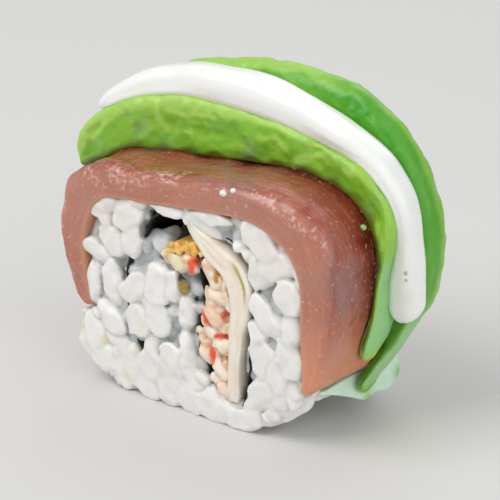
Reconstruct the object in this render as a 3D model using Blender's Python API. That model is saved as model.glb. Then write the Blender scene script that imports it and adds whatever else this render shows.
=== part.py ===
"""Uramaki roll: one cut piece of inside-out sushi with tuna, avocado and mayonnaise on top.

Metres, +Z up. The roll's axis lies along Y, its cut faces look along -Y and +Y, and it rests on Z = 0.
All outlines below are (x, z) pairs in millimetres, in the plane of the cut face.
"""

import math

import bmesh
import bpy
import numpy as np
from mathutils import Vector
from mathutils.geometry import tessellate_polygon

MM = 0.001
GAP = 0.3                    # clearance between pieces that touch
BOX_MIDDLE = 0.7             # x of the middle of the roll's box in the outlines, put on the Z axis

ROLL_LENGTH = 26.0           # distance between the two knife cuts
CUT = ROLL_LENGTH / 2
NORI_THICKNESS = 0.7
GRAIN_LENGTH = 6.5           # a cooked short grain of rice
GRAIN_RELIEF = 0.45          # how far the outer grains stand out
BARE_RICE_TOP = 8.2          # the rice is uncovered below this height
BARE_RICE_FADE = 3.0         # and its relief is full this far further down

AVOCADO_FRONT_FACE = -1.0    # y of the front slice's face that looks forward
AVOCADO_MEETING = 5.3        # y where the two slices touch
AVOCADO_BACK_FACE = 11.2     # y of the back slice's rear face
SLICE_SKEW = 3.5             # how far forward the left tips of the slices are laid
SLICE_TIP = 4.0              # length over which a slice, or the mayonnaise, narrows to its tip
SEAT_LEFT = 35.4             # the slices lie on the tuna down to this height on the left
SEAT_RIGHT = 14.5            # and to this one on the right
SKEW_START = -8.0            # x where a slice starts to turn forward
SKEW_END = -31.0             # x of its left tip
FOOT_SKEW = 4.0              # how far forward the right feet of the slices are laid
FOOT_START = 22.0            # height where a foot starts to turn forward
FOOT_END = 10.0              # height where it has turned that far

# The rice, clockwise from the left end of its flat underside. The underside is cut level at z = 0.
RICE_OUTLINE = [
    (-10.0, -0.6), (-15.0, 1.2), (-19.6, 3.0), (-22.6, 6.6), (-22.8, 11.0), (-21.4, 15.0), (-21.4, 20.0),
    (-21.6, 24.5), (-20.4, 28.6), (-17.8, 32.2), (-13.6, 33.4), (-8.0, 33.7), (-2.0, 34.6), (5.0, 35.3),
    (11.0, 35.6), (16.0, 34.4), (19.6, 31.8), (21.6, 27.6), (21.9, 22.5), (22.0, 17.0), (22.4, 12.0),
    (21.2, 7.0), (17.8, 3.2), (13.2, 0.9), (9.0, -0.6), (0.0, -0.9),
]

# Middle of the nori sheet: down the left of the filling, under it, up its right, over the top,
# and down again round the tongue of inner rice.
NORI_PATH = [
    (1.2, 25.6), (2.1, 22.6), (2.3, 19.6), (1.8, 16.6), (0.9, 14.2), (1.4, 11.8), (2.9, 9.6), (3.3, 6.9),
    (5.2, 4.7), (8.4, 4.0), (10.9, 4.8), (11.9, 8.4), (12.3, 13.0), (12.7, 18.0), (13.3, 22.4), (12.9, 26.2),
    (10.8, 28.9), (7.4, 30.6), (4.0, 31.5), (0.4, 32.1), (-3.8, 32.1), (-7.4, 30.7), (-10.0, 27.4),
    (-12.4, 23.4), (-13.4, 19.6), (-13.2, 15.6), (-12.4, 12.2), (-10.9, 9.2), (-9.2, 6.8), (-8.1, 4.3),
]
TONGUE_START = (-9.6, 28.0)  # where the sheet turns down round that tongue
TONGUE_TOP = [(-8.9, 27.2), (-7.6, 28.9), (-5.9, 28.7), (-5.6, 26.3), (-2.6, 25.8)]

EGG_OUTLINE = [
    (-5.0, 28.2), (-4.6, 29.6), (-2.4, 30.1), (0.2, 29.9), (2.2, 29.2), (2.3, 27.6), (0.6, 26.7),
    (-2.6, 26.3), (-5.0, 26.8),
]
CRAB_SHREDS_OUTLINE = [
    (2.2, 26.9), (3.0, 28.0), (4.4, 27.2), (6.0, 25.7), (7.2, 23.4), (7.8, 20.0), (8.2, 16.0), (8.5, 12.0),
    (8.6, 8.0), (8.7, 5.3), (6.2, 5.5), (4.5, 7.2), (4.1, 9.8), (2.7, 12.0), (2.1, 14.2), (2.9, 16.6),
    (3.4, 19.8), (3.1, 23.2),
]
CRAB_STRIP_OUTLINE = [
    (2.9, 30.6), (6.0, 29.9), (9.2, 28.2), (11.4, 25.6), (12.0, 22.4), (11.5, 17.6), (11.1, 12.8),
    (10.7, 8.4), (10.2, 5.4), (9.2, 5.4), (9.0, 8.4), (8.9, 12.2), (8.6, 16.2), (8.2, 20.2), (7.6, 23.6),
    (6.4, 26.1), (4.8, 27.7), (3.0, 28.8),
]

# Outer side of the tuna, from its left end over the top to its right end.
TUNA_OUTER = [
    (-23.6, 11.6), (-25.6, 14.6), (-26.4, 19.0), (-26.9, 24.5), (-27.3, 28.8), (-25.6, 34.0), (-21.4, 37.2),
    (-15.0, 38.0), (-7.0, 38.7), (0.0, 39.6), (7.0, 40.3), (12.6, 40.6), (17.6, 39.9), (21.6, 38.6),
    (24.6, 36.4), (26.4, 33.2), (27.1, 29.4), (27.1, 25.0), (26.8, 20.0), (26.1, 15.0), (24.4, 9.8),
]
TUNA_LEFT_END = (-22.6, 12.0)     # where the tuna ends on the rice outline
TUNA_RIGHT_END = (22.3, 9.2)
TUNA_TIP = 1.6               # length over which its two ends round off

# The two avocado slices, left to right: the outer side, the part that overhangs the tuna on the left,
# and the end on the right. Between overhang and end a slice lies on the tuna.
FRONT_SLICE_OUTER = [
    (-31.4, 34.6), (-30.4, 38.2), (-28.2, 41.2), (-24.4, 44.0), (-18.4, 46.4), (-11.6, 47.7), (-5.0, 47.8),
    (2.0, 47.7), (7.0, 47.3), (12.0, 46.3), (17.0, 45.3), (21.4, 44.1), (25.0, 42.4), (27.5, 40.0),
    (29.0, 37.4), (29.5, 34.4), (29.3, 31.4), (28.7, 28.4), (28.0, 25.2), (27.6, 21.8), (27.5, 18.6),
    (27.3, 15.8), (26.8, 13.0),
]
FRONT_SLICE_OVERHANG = [(-31.0, 31.6), (-28.8, 32.7), (-26.8, 34.0)]
FRONT_SLICE_FOOT = [(26.2, 12.6)]

BACK_SLICE_OUTER = [
    (-28.6, 37.6), (-27.0, 41.8), (-23.6, 45.6), (-18.6, 49.0), (-12.6, 51.4), (-6.0, 52.9), (1.0, 53.6),
    (8.0, 53.7), (14.2, 52.9), (19.9, 50.9), (24.7, 47.5), (28.3, 43.2), (30.9, 38.3), (32.4, 32.8),
    (32.6, 27.2), (31.5, 21.6), (29.6, 16.9), (27.5, 12.9), (26.1, 9.8), (25.3, 7.4), (24.7, 5.5),
]
BACK_SLICE_OVERHANG = [(-28.2, 35.0), (-26.6, 34.4)]
BACK_SLICE_FOOT = [(25.6, 12.0), (24.8, 9.8), (24.3, 7.6), (24.1, 5.6)]

MAYONNAISE_FRONT = 0.0       # y of its front edge on the front slice
MAYONNAISE_LEFT = -27.6      # x where the band of mayonnaise starts on the front slice
MAYONNAISE_END_Z = 17.0      # height of its rounded lower end on the right
# Its height above the front slice: (share of its run, mm).
MAYONNAISE_HEIGHTS = [
    (0.0, 1.6), (0.08, 3.0), (0.15, 4.0), (0.22, 4.5), (0.35, 4.8), (0.5, 4.5), (0.58, 3.8), (0.65, 3.0),
    (0.71, 2.3), (0.77, 2.1), (0.82, 2.6), (0.87, 3.6), (0.92, 4.5), (0.96, 4.8), (1.0, 4.7),
]

# The thin sliver of avocado that hangs below the right end of the tuna.
SLIVER_TOP = (22.6, 8.8)
SLIVER_BOTTOM = (23.6, 3.6)
SLIVER_THICKNESS = 1.0
# The height of its lower edge along the roll: (y, z).
SLIVER_LOWER_EDGE = [
    (-8.5, 8.3), (-5.0, 7.0), (-1.5, 5.4), (2.4, 3.5), (5.0, 3.9), (8.0, 3.4), (11.0, 4.3), (12.2, 6.2),
]
SLIVER_ROUND = [(0.5, 1.0), (0.9, 0.8), (1.0, 0.3)]     # (share of its depth, of half its thickness)

COLOURS = {
    "rice": (0.80, 0.79, 0.76),
    "nori": (0.012, 0.014, 0.010),
    "egg": (0.72, 0.44, 0.14),
    "crab_shreds": (0.82, 0.66, 0.54),
    "crab_strip": (0.84, 0.79, 0.70),
    "tuna": (0.36, 0.12, 0.075),
    "avocado_slice_front": (0.27, 0.47, 0.07),
    "avocado_slice_back": (0.20, 0.50, 0.06),
    "avocado_sliver": (0.40, 0.60, 0.43),
    "mayonnaise": (0.88, 0.90, 0.86),
}
ROUGHNESS = {"nori": 0.6, "tuna": 0.32, "mayonnaise": 0.16}
DEFAULT_ROUGHNESS = 0.45


def clear_scene():
    """Removes whatever the file held before."""
    for obj in list(bpy.data.objects):
        bpy.data.objects.remove(obj, do_unlink=True)


def smooth_line(points, count, closed=False):
    """Evenly spaced points on a Catmull-Rom curve through the given ones."""
    p = np.array(points, float)
    if closed:
        p = np.vstack([p[-1], p, p[:2]])
    else:
        p = np.vstack([2 * p[0] - p[1], p, 2 * p[-1] - p[-2]])
    t = np.linspace(0.0, 1.0, 16, endpoint=False)[:, None]
    spans = [
        0.5 * (2 * b + (c - a) * t + (2 * a - 5 * b + 4 * c - d) * t**2 + (3 * b - a - 3 * c + d) * t**3)
        for a, b, c, d in zip(p, p[1:], p[2:], p[3:])
    ]
    fine = np.vstack(spans + [p[-2:-1]])
    run = np.r_[0.0, np.cumsum(np.linalg.norm(np.diff(fine, axis=0), axis=1))]
    stops = np.linspace(0.0, run[-1], count + 1)[:-1] if closed else np.linspace(0.0, run[-1], count)
    return np.column_stack([np.interp(stops, run, fine[:, k]) for k in (0, 1)])


def offset_line(line, distance):
    """Moves an open line sideways: a positive distance goes to the left of its direction."""
    along = np.gradient(line, axis=0)
    along /= np.linalg.norm(along, axis=1)[:, None]
    return line + distance * np.column_stack([-along[:, 1], along[:, 0]])


def material(name):
    """A Principled material in the piece's own colour."""
    made = bpy.data.materials.new(name)
    made.use_nodes = True
    shader = made.node_tree.nodes["Principled BSDF"]
    shader.inputs["Base Color"].default_value = (*COLOURS[name], 1.0)
    shader.inputs["Roughness"].default_value = ROUGHNESS.get(name, DEFAULT_ROUGHNESS)
    shader.inputs["Metallic"].default_value = 0.0
    return made


def add_solid(name, vertices, faces, crease_deg):
    """Makes one object from millimetre vertices, with its faces turned outwards."""
    mesh = bpy.data.meshes.new(name)
    placed = (np.asarray(vertices) - (BOX_MIDDLE, 0.0, 0.0)) * MM
    mesh.from_pydata([tuple(v) for v in placed], [], faces)
    work = bmesh.new()
    work.from_mesh(mesh)
    bmesh.ops.recalc_face_normals(work, faces=work.faces)
    work.to_mesh(mesh)
    work.free()
    mesh.materials.append(material(name))
    mesh.shade_smooth()
    mesh.set_sharp_from_angle(angle=math.radians(crease_deg))
    obj = bpy.data.objects.new(name, mesh)
    bpy.context.scene.collection.objects.link(obj)
    return obj


def add_block(name, outer_rings, hole=None):
    """A length of filling or rice. outer_rings holds one outline for each y; hole is cut straight through.

    outer_rings is a list of (y, outline) from front to back.
    """
    count = len(outer_rings[0][1])
    vertices = [(x, y, z) for y, ring in outer_rings for x, z in ring]
    faces = []
    for level in range(len(outer_rings) - 1):
        for i in range(count):
            j = (i + 1) % count
            low, high = level * count, (level + 1) * count
            faces.append((low + i, low + j, high + j, high + i))
    base = len(vertices)
    ends = [outer_rings[0][0], outer_rings[-1][0]]
    hole_count = 0 if hole is None else len(hole)
    for y in ends:
        vertices += [(x, y, z) for x, z in ([] if hole is None else hole)]
    for i in range(hole_count):
        j = (i + 1) % hole_count
        faces.append((base + i, base + j, base + hole_count + j, base + hole_count + i))
    for end, (_, ring) in enumerate((outer_rings[0], outer_rings[-1])):
        loops = [[Vector((x, z, 0.0)) for x, z in ring]]
        index = [end * (len(outer_rings) - 1) * count + i for i in range(count)]
        if hole_count:
            loops.append([Vector((x, z, 0.0)) for x, z in hole])
            index += [base + end * hole_count + i for i in range(hole_count)]
        faces += [tuple(index[k] for k in corner) for corner in tessellate_polygon(loops)]
    return add_solid(name, vertices, faces, 35)


def at_share(line, share):
    """Points at the given shares of an evenly spaced line."""
    place = np.linspace(0.0, 1.0, len(line))
    return np.column_stack([np.interp(share, place, line[:, k]) for k in (0, 1)])


def add_slice(name, inner, outer, y_range, nose, skew=0.0, foot_skew=0.0, stations=34, section=16,
              squareness=(7.0, 3.4)):
    """A slice laid over the roll: a rounded section carried from one end of the arc to the other.

    inner and outer are evenly spaced lines of (x, z). The section is a superellipse, squarer towards
    the roll than outside, and it shrinks over the last stretch, nose millimetres long, to a blunt
    tip. skew brings the left end forward, and foot_skew the right one.
    """
    length = np.linalg.norm(np.diff((inner + outer) / 2, axis=0), axis=1).sum()
    rounded = nose / length * np.array([0.0, 0.12, 0.45])
    share = np.r_[rounded, np.linspace(nose / length, 1 - nose / length, stations), 1 - rounded[::-1]]
    inner = at_share(inner, share)
    outer = at_share(outer, share)
    from_end = np.minimum(share, 1 - share) * length
    shrink = np.sqrt(np.clip(1 - (1 - np.clip(from_end / nose, 0, 1)) ** 2, 0.06, 1.0))
    count = len(share)
    angle = np.linspace(0, 2 * math.pi, section, endpoint=False)
    power = 2 / np.where(np.sin(angle) < 0, squareness[0], squareness[1])
    across = np.sign(np.cos(angle)) * np.abs(np.cos(angle)) ** power
    up = np.sign(np.sin(angle)) * np.abs(np.sin(angle)) ** power
    y_middle = (y_range[0] + y_range[1]) / 2
    y_half = (y_range[1] - y_range[0]) / 2
    depth = 0.5 + 0.5 * shrink[:, None] * up[None, :]
    x = inner[:, :1] + (outer - inner)[:, :1] * depth
    z = inner[:, 1:] + (outer - inner)[:, 1:] * depth
    turn = np.clip((x - SKEW_START) / (SKEW_END - SKEW_START), 0.0, 1.2)
    y_reach = y_half - min(nose, y_half) * (1 - shrink)
    foot = np.clip((FOOT_START - z) / (FOOT_START - FOOT_END), 0.0, 1.2) * (x > 0)
    forward = skew * turn**1.5 + foot_skew * foot**1.5
    y = y_middle + y_reach[:, None] * across[None, :] - forward
    vertices = np.column_stack([x.ravel(), y.ravel(), z.ravel()])
    faces = [tuple(range(section)), tuple(range((count - 1) * section, count * section))]
    for i in range(count - 1):
        for k in range(section):
            m = (k + 1) % section
            faces.append((i * section + k, i * section + m, (i + 1) * section + m, (i + 1) * section + k))
    return add_solid(name, vertices, faces, 50)


def nearest(line, place):
    """The index of the point of a line that lies nearest to a place."""
    return np.argmin(np.linalg.norm(line - place, axis=1))


def rice_ring(y, outline):
    """The rice outline at one depth: grains stand out below the tuna, and the underside is level."""
    run = np.r_[0.0, np.cumsum(np.linalg.norm(np.diff(outline, axis=0), axis=1))]
    outward = -offset_line(outline, 1.0) + outline
    bare = np.clip((BARE_RICE_TOP - outline[:, 1]) / BARE_RICE_FADE, 0.0, 1.0)
    turn = 2 * math.pi / GRAIN_LENGTH
    relief = np.sin(turn * run + 1.7 * math.sin(0.55 * turn * y)) * math.cos(0.6 * turn * y + 0.4)
    ring = outline - outward * (GRAIN_RELIEF * bare * (relief - 0.6))[:, None]
    ring[:, 1] = np.maximum(ring[:, 1], 0.0)
    return ring


def rice_side():
    """The stretch of rice outline under the tuna, from its left end over the top to its right end."""
    outline = smooth_line(RICE_OUTLINE, 240, closed=True)
    left = nearest(outline, TUNA_LEFT_END)
    right = nearest(outline, TUNA_RIGHT_END)
    return outline[left:right + 1]


def sliver_section(y, lower_edge):
    """The sliver cut across at y: a thin strip, rounded at its lower edge, down to lower_edge."""
    down = np.subtract(SLIVER_BOTTOM, SLIVER_TOP)
    drop = (SLIVER_TOP[1] - lower_edge) / (SLIVER_TOP[1] - SLIVER_BOTTOM[1])
    side = np.array([-down[1], down[0]]) / np.linalg.norm(down) * SLIVER_THICKNESS / 2
    one_side = [(0.0, 1.0), *SLIVER_ROUND]
    outline = one_side + [(run, -across) for run, across in reversed(one_side)]
    return np.array([SLIVER_TOP + down * drop * run + side * across for run, across in outline])


def build():
    """Builds every piece of the roll."""
    clear_scene()

    nori = smooth_line(NORI_PATH, 84)
    half = NORI_THICKNESS / 2
    nori_rice_side = offset_line(nori, -half)
    nori_filling_side = offset_line(nori, half)
    nori_band = np.vstack([nori_rice_side, nori_filling_side[::-1]])
    add_block("nori", [(-CUT, nori_band), (CUT, nori_band)])

    wrap_start = nearest(nori, TONGUE_START)
    cavity = np.vstack([
        offset_line(nori, -half - GAP),
        [nori[-1] + (0.0, -half - GAP)],
        offset_line(nori, half + GAP)[wrap_start:][::-1],
        TONGUE_TOP,
    ])
    rice = smooth_line(RICE_OUTLINE, 84, closed=True)
    depths = np.linspace(-CUT, CUT, 9)
    add_block("rice", [(y, rice_ring(y, rice)) for y in depths], hole=cavity)

    for name, outline, count in (
        ("egg", EGG_OUTLINE, 22),
        ("crab_shreds", CRAB_SHREDS_OUTLINE, 40),
        ("crab_strip", CRAB_STRIP_OUTLINE, 40),
    ):
        ring = smooth_line(outline, count, closed=True)
        add_block(name, [(-CUT, ring), (CUT, ring)])

    tuna_inner = offset_line(smooth_line(rice_side(), 200), GAP)
    tuna_outer = smooth_line(TUNA_OUTER, 200)
    add_slice("tuna", tuna_inner, tuna_outer, (-CUT, CUT), nose=TUNA_TIP, squareness=(9.0, 7.0))

    over_tuna = offset_line(tuna_outer, GAP)
    on_right = (over_tuna[:, 0] > 0) & (over_tuna[:, 1] > SEAT_RIGHT)
    seat = over_tuna[(over_tuna[:, 1] > SEAT_LEFT) | on_right][::8]
    meeting = (AVOCADO_MEETING - GAP / 2, AVOCADO_MEETING + GAP / 2)
    for name, overhang, foot, outline, y_range in (
        ("avocado_slice_front", FRONT_SLICE_OVERHANG, FRONT_SLICE_FOOT, FRONT_SLICE_OUTER,
         (AVOCADO_FRONT_FACE, meeting[0])),
        ("avocado_slice_back", BACK_SLICE_OVERHANG, BACK_SLICE_FOOT, BACK_SLICE_OUTER,
         (meeting[1], AVOCADO_BACK_FACE)),
    ):
        inner = smooth_line(np.vstack([overhang, seat, foot]), 200)
        add_slice(
            name, inner, smooth_line(outline, 200), y_range,
            nose=SLICE_TIP, skew=SLICE_SKEW, foot_skew=FOOT_SKEW,
        )

    ridge = smooth_line(FRONT_SLICE_OUTER, 200)
    on_ridge = (ridge[:, 0] > MAYONNAISE_LEFT) & ((ridge[:, 1] > MAYONNAISE_END_Z) | (ridge[:, 0] < 0))
    band = smooth_line(offset_line(ridge, GAP)[on_ridge][::5], 200)
    height = np.interp(np.linspace(0.0, 1.0, len(band)), *np.transpose(MAYONNAISE_HEIGHTS))
    add_slice(
        "mayonnaise", band, offset_line(band, height[:, None]), (MAYONNAISE_FRONT, meeting[0]),
        nose=SLICE_TIP, skew=SLICE_SKEW, foot_skew=FOOT_SKEW, section=14, squareness=(3.0, 2.2),
    )

    lower_edge = smooth_line(SLIVER_LOWER_EDGE, 18)
    add_block("avocado_sliver", [(y, sliver_section(y, z)) for y, z in lower_edge])


build()
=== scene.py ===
"""Uramaki roll: the looks of one cut piece of inside-out sushi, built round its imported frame.

Shapes are worked out in millimetres in the plane of the cut face, (x, z), with y along the roll, as the
frame's own outlines are, and go into their meshes in metres in the frame's place.
"""

import math

import bpy
import numpy as np
from bpy.props import FloatProperty, FloatVectorProperty, PointerProperty
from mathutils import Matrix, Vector


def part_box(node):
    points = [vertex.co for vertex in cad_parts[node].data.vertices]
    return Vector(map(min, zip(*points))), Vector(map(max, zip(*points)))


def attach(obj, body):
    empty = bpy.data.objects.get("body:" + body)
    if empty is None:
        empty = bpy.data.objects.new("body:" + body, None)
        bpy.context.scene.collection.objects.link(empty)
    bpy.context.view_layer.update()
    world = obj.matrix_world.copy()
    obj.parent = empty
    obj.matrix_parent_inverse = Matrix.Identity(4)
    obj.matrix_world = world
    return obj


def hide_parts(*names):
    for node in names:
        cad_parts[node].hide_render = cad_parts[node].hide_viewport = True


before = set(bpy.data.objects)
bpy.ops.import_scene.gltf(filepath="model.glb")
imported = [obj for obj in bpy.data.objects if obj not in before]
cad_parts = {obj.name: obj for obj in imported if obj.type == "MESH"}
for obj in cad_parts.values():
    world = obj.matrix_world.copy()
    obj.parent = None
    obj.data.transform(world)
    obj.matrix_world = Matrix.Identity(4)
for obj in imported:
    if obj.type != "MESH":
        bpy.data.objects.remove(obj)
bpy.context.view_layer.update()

bl_info = {
    "name": "Uramaki Roll",
    "version": (1, 0, 0),
    "blender": (4, 5, 0),
    "location": "3D View > Sidebar > Roll",
    "description": "Builds the looks of one piece of uramaki with tuna, avocado and mayonnaise",
    "category": "Add Mesh",
}

MM = 0.001
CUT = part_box("rice")[1].y / MM         # half the roll's length: the cut faces are at y = -CUT and +CUT
BOX_MIDDLE = 0.7                       # x of the middle of the roll's box in the outlines
ROLL_AXIS = np.array([0.0, 1.0, 0.0])
AT_ONCE = 4000                         # points that are compared with a line or with grains at a time

# Outlines in the plane of the cut face, in millimetres, close to the frame's own.
RICE_OUTLINE = [
    (-10.0, -0.6), (-15.4, 1.0), (-19.2, 3.1), (-22.8, 6.0), (-23.5, 9.0), (-22.6, 11.8), (-20.1, 13.1),
    (-20.6, 15.4), (-21.2, 18.0), (-21.5, 21.0), (-21.6, 24.5), (-20.4, 28.6), (-17.8, 32.2), (-13.6, 33.4),
    (-8.0, 33.7), (-2.0, 34.6), (5.0, 35.3), (11.0, 35.6), (16.0, 34.4), (19.6, 31.8), (21.6, 27.6),
    (21.9, 22.5), (22.0, 17.0), (22.4, 12.0), (21.2, 7.0), (17.2, 3.3), (13.2, 0.9), (9.0, -0.6),
    (0.0, -0.9),
]
NORI_PATH = [
    (1.2, 25.6), (2.1, 22.6), (2.3, 19.6), (1.8, 16.6), (0.9, 14.2), (1.4, 11.8), (2.9, 9.6), (3.3, 6.9),
    (5.2, 4.7), (8.4, 3.6), (10.5, 4.4), (11.0, 8.4), (11.3, 13.0), (12.2, 18.0), (13.0, 22.4),
    (12.7, 26.2), (10.8, 28.9), (7.4, 30.6), (4.0, 31.5), (0.4, 32.3), (-3.8, 33.0), (-7.6, 31.6),
    (-10.0, 27.4), (-12.4, 23.4), (-13.4, 19.6), (-13.2, 15.6), (-12.4, 12.2), (-10.9, 9.2), (-9.2, 6.8),
    (-8.1, 4.3),
]
HOLLOW_EDGE = 0.5                      # how far the rice's hollow reaches past the middle of the sheet
TONGUE_START = (-9.6, 28.0)            # where the sheet turns down round the tongue of inner rice
TONGUE_TOP = [(-8.9, 27.2), (-7.6, 28.9), (-5.9, 28.7), (-5.6, 26.3), (-2.6, 25.8)]
CRAB_OUTLINE = [
    (2.2, 26.9), (3.0, 28.0), (4.4, 27.2), (6.0, 25.7), (7.2, 23.4), (7.8, 20.0), (8.2, 16.0), (8.5, 12.0),
    (8.6, 8.0), (8.7, 5.3), (6.2, 5.5), (4.5, 7.2), (4.1, 9.8), (2.7, 12.0), (2.1, 14.2), (2.9, 16.6),
    (3.4, 19.8), (3.1, 23.2),
]
EGG_OUTLINE = [
    (-4.6, 26.9), (-3.9, 27.9), (-2.4, 28.6), (-0.4, 28.7), (1.3, 29.2), (2.3, 28.5), (2.5, 27.6),
    (0.8, 27.3), (-1.2, 27.3), (-3.0, 26.6), (-4.4, 26.2),
]
TUNA_OUTER = [
    (-20.4, 12.6), (-22.8, 12.6), (-24.9, 14.6), (-26.2, 19.0), (-26.9, 24.5), (-27.3, 28.8), (-25.6, 34.0),
    (-21.4, 37.2), (-15.0, 38.0), (-7.0, 38.7), (0.0, 39.6), (7.0, 40.3), (12.6, 40.6), (17.6, 39.9),
    (21.6, 38.6), (24.6, 36.4), (26.4, 33.2), (27.1, 29.4), (27.1, 25.0), (26.8, 20.0), (26.1, 15.0),
    (24.4, 9.8),
]
TUNA_LEFT_END = (-20.0, 13.2)
TUNA_RIGHT_END = (22.3, 9.2)
FRONT_SLICE_OUTER = [
    (-31.4, 34.6), (-30.4, 38.2), (-28.2, 41.2), (-24.4, 44.0), (-18.4, 46.4), (-11.6, 47.7), (-5.0, 47.8),
    (2.0, 47.7), (7.0, 47.3), (12.0, 46.3), (17.0, 45.3), (21.4, 44.1), (25.0, 42.4), (27.5, 40.0),
    (29.0, 37.4), (29.5, 34.4), (29.3, 31.4), (28.7, 28.4), (28.0, 25.2), (27.6, 21.8), (27.5, 18.6),
    (27.3, 15.8), (26.8, 13.0),
]
FRONT_SLICE_OVERHANG = [(-31.0, 31.6), (-28.8, 32.7), (-26.8, 34.0)]
FRONT_SLICE_FOOT = [(26.2, 12.6)]
BACK_SLICE_OUTER = [
    (-28.6, 37.6), (-27.0, 41.8), (-23.6, 45.6), (-18.6, 49.0), (-12.6, 51.4), (-6.0, 52.9), (1.0, 53.6),
    (8.0, 53.7), (14.2, 52.9), (19.9, 50.9), (24.7, 47.5), (28.3, 43.2), (30.9, 38.3), (32.4, 32.8),
    (32.6, 27.2), (31.5, 21.6), (29.6, 16.9), (27.5, 12.9), (26.1, 9.8), (25.3, 7.4), (24.7, 5.5),
]
BACK_SLICE_OVERHANG = [(-28.2, 35.0), (-26.6, 34.4)]
BACK_SLICE_FOOT = [(25.6, 12.0), (24.8, 9.8), (24.3, 7.6), (24.1, 5.6)]
SEAT_LEFT = 35.4                       # the slices lie on the tuna down to these heights
SEAT_RIGHT = 14.5
AVOCADO_FRONT_FACE = -1.0              # y of the slices' faces
AVOCADO_MEETING = 5.3
AVOCADO_BACK_FACE = 11.2
SLICE_SKEWS = (3.5, 5.2)               # how far forward the slices' left tips and right feet are laid
SKEW_START = -8.0                      # x where a slice starts to turn forward
SKEW_END = -31.0
FOOT_START = 22.0                      # height where a foot starts to turn forward
FOOT_END = 10.0
MAYONNAISE_LEFT = -27.6
MAYONNAISE_END_Z = 17.0
MAYONNAISE_HEIGHTS = [
    (0.0, 1.6), (0.08, 3.0), (0.15, 4.0), (0.22, 4.5), (0.35, 4.8), (0.5, 4.5), (0.58, 3.8), (0.65, 3.0),
    (0.71, 2.3), (0.77, 2.1), (0.82, 2.6), (0.87, 3.6), (0.92, 4.5), (0.96, 4.8), (1.0, 4.7),
]                                      # (share of run, mm)
MAYONNAISE_FRONT = [
    (0.0, -0.2), (0.3, -0.4), (0.42, -0.9), (0.5, -0.5), (0.62, -0.4), (0.7, -0.3), (0.77, 0.5),
    (0.82, 1.0), (0.87, 1.3), (0.92, 1.5), (0.96, 1.9), (1.0, 2.2),
]                                      # (share of run, y): the sauce's front edge
MAYONNAISE_BACK = [(0.0, 5.5), (0.80, 5.5), (0.90, 6.2), (0.96, 6.5), (1.0, 6.4)]
MAYONNAISE_SPECKS = [(33.0, -5.4, 26.9, 0.36), (33.0, -4.6, 25.6, 0.30)]   # x, y, z and half width
SLIVER_TOP = (22.6, 8.8)
SLIVER_BOTTOM = (23.6, 3.6)
SLIVER_GREEN_CORNERS = [(2.4, 3.6), (11.6, 4.9)]       # y and height
SLIVER_LOWER_EDGE = [(-8.5, 8.3), (-5.0, 7.0), (-1.5, 5.4), (2.4, 3.5), (5.0, 3.9), (8.0, 3.4), (11.0, 4.3),
                     (12.2, 6.2)]      # (y, height)

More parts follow.
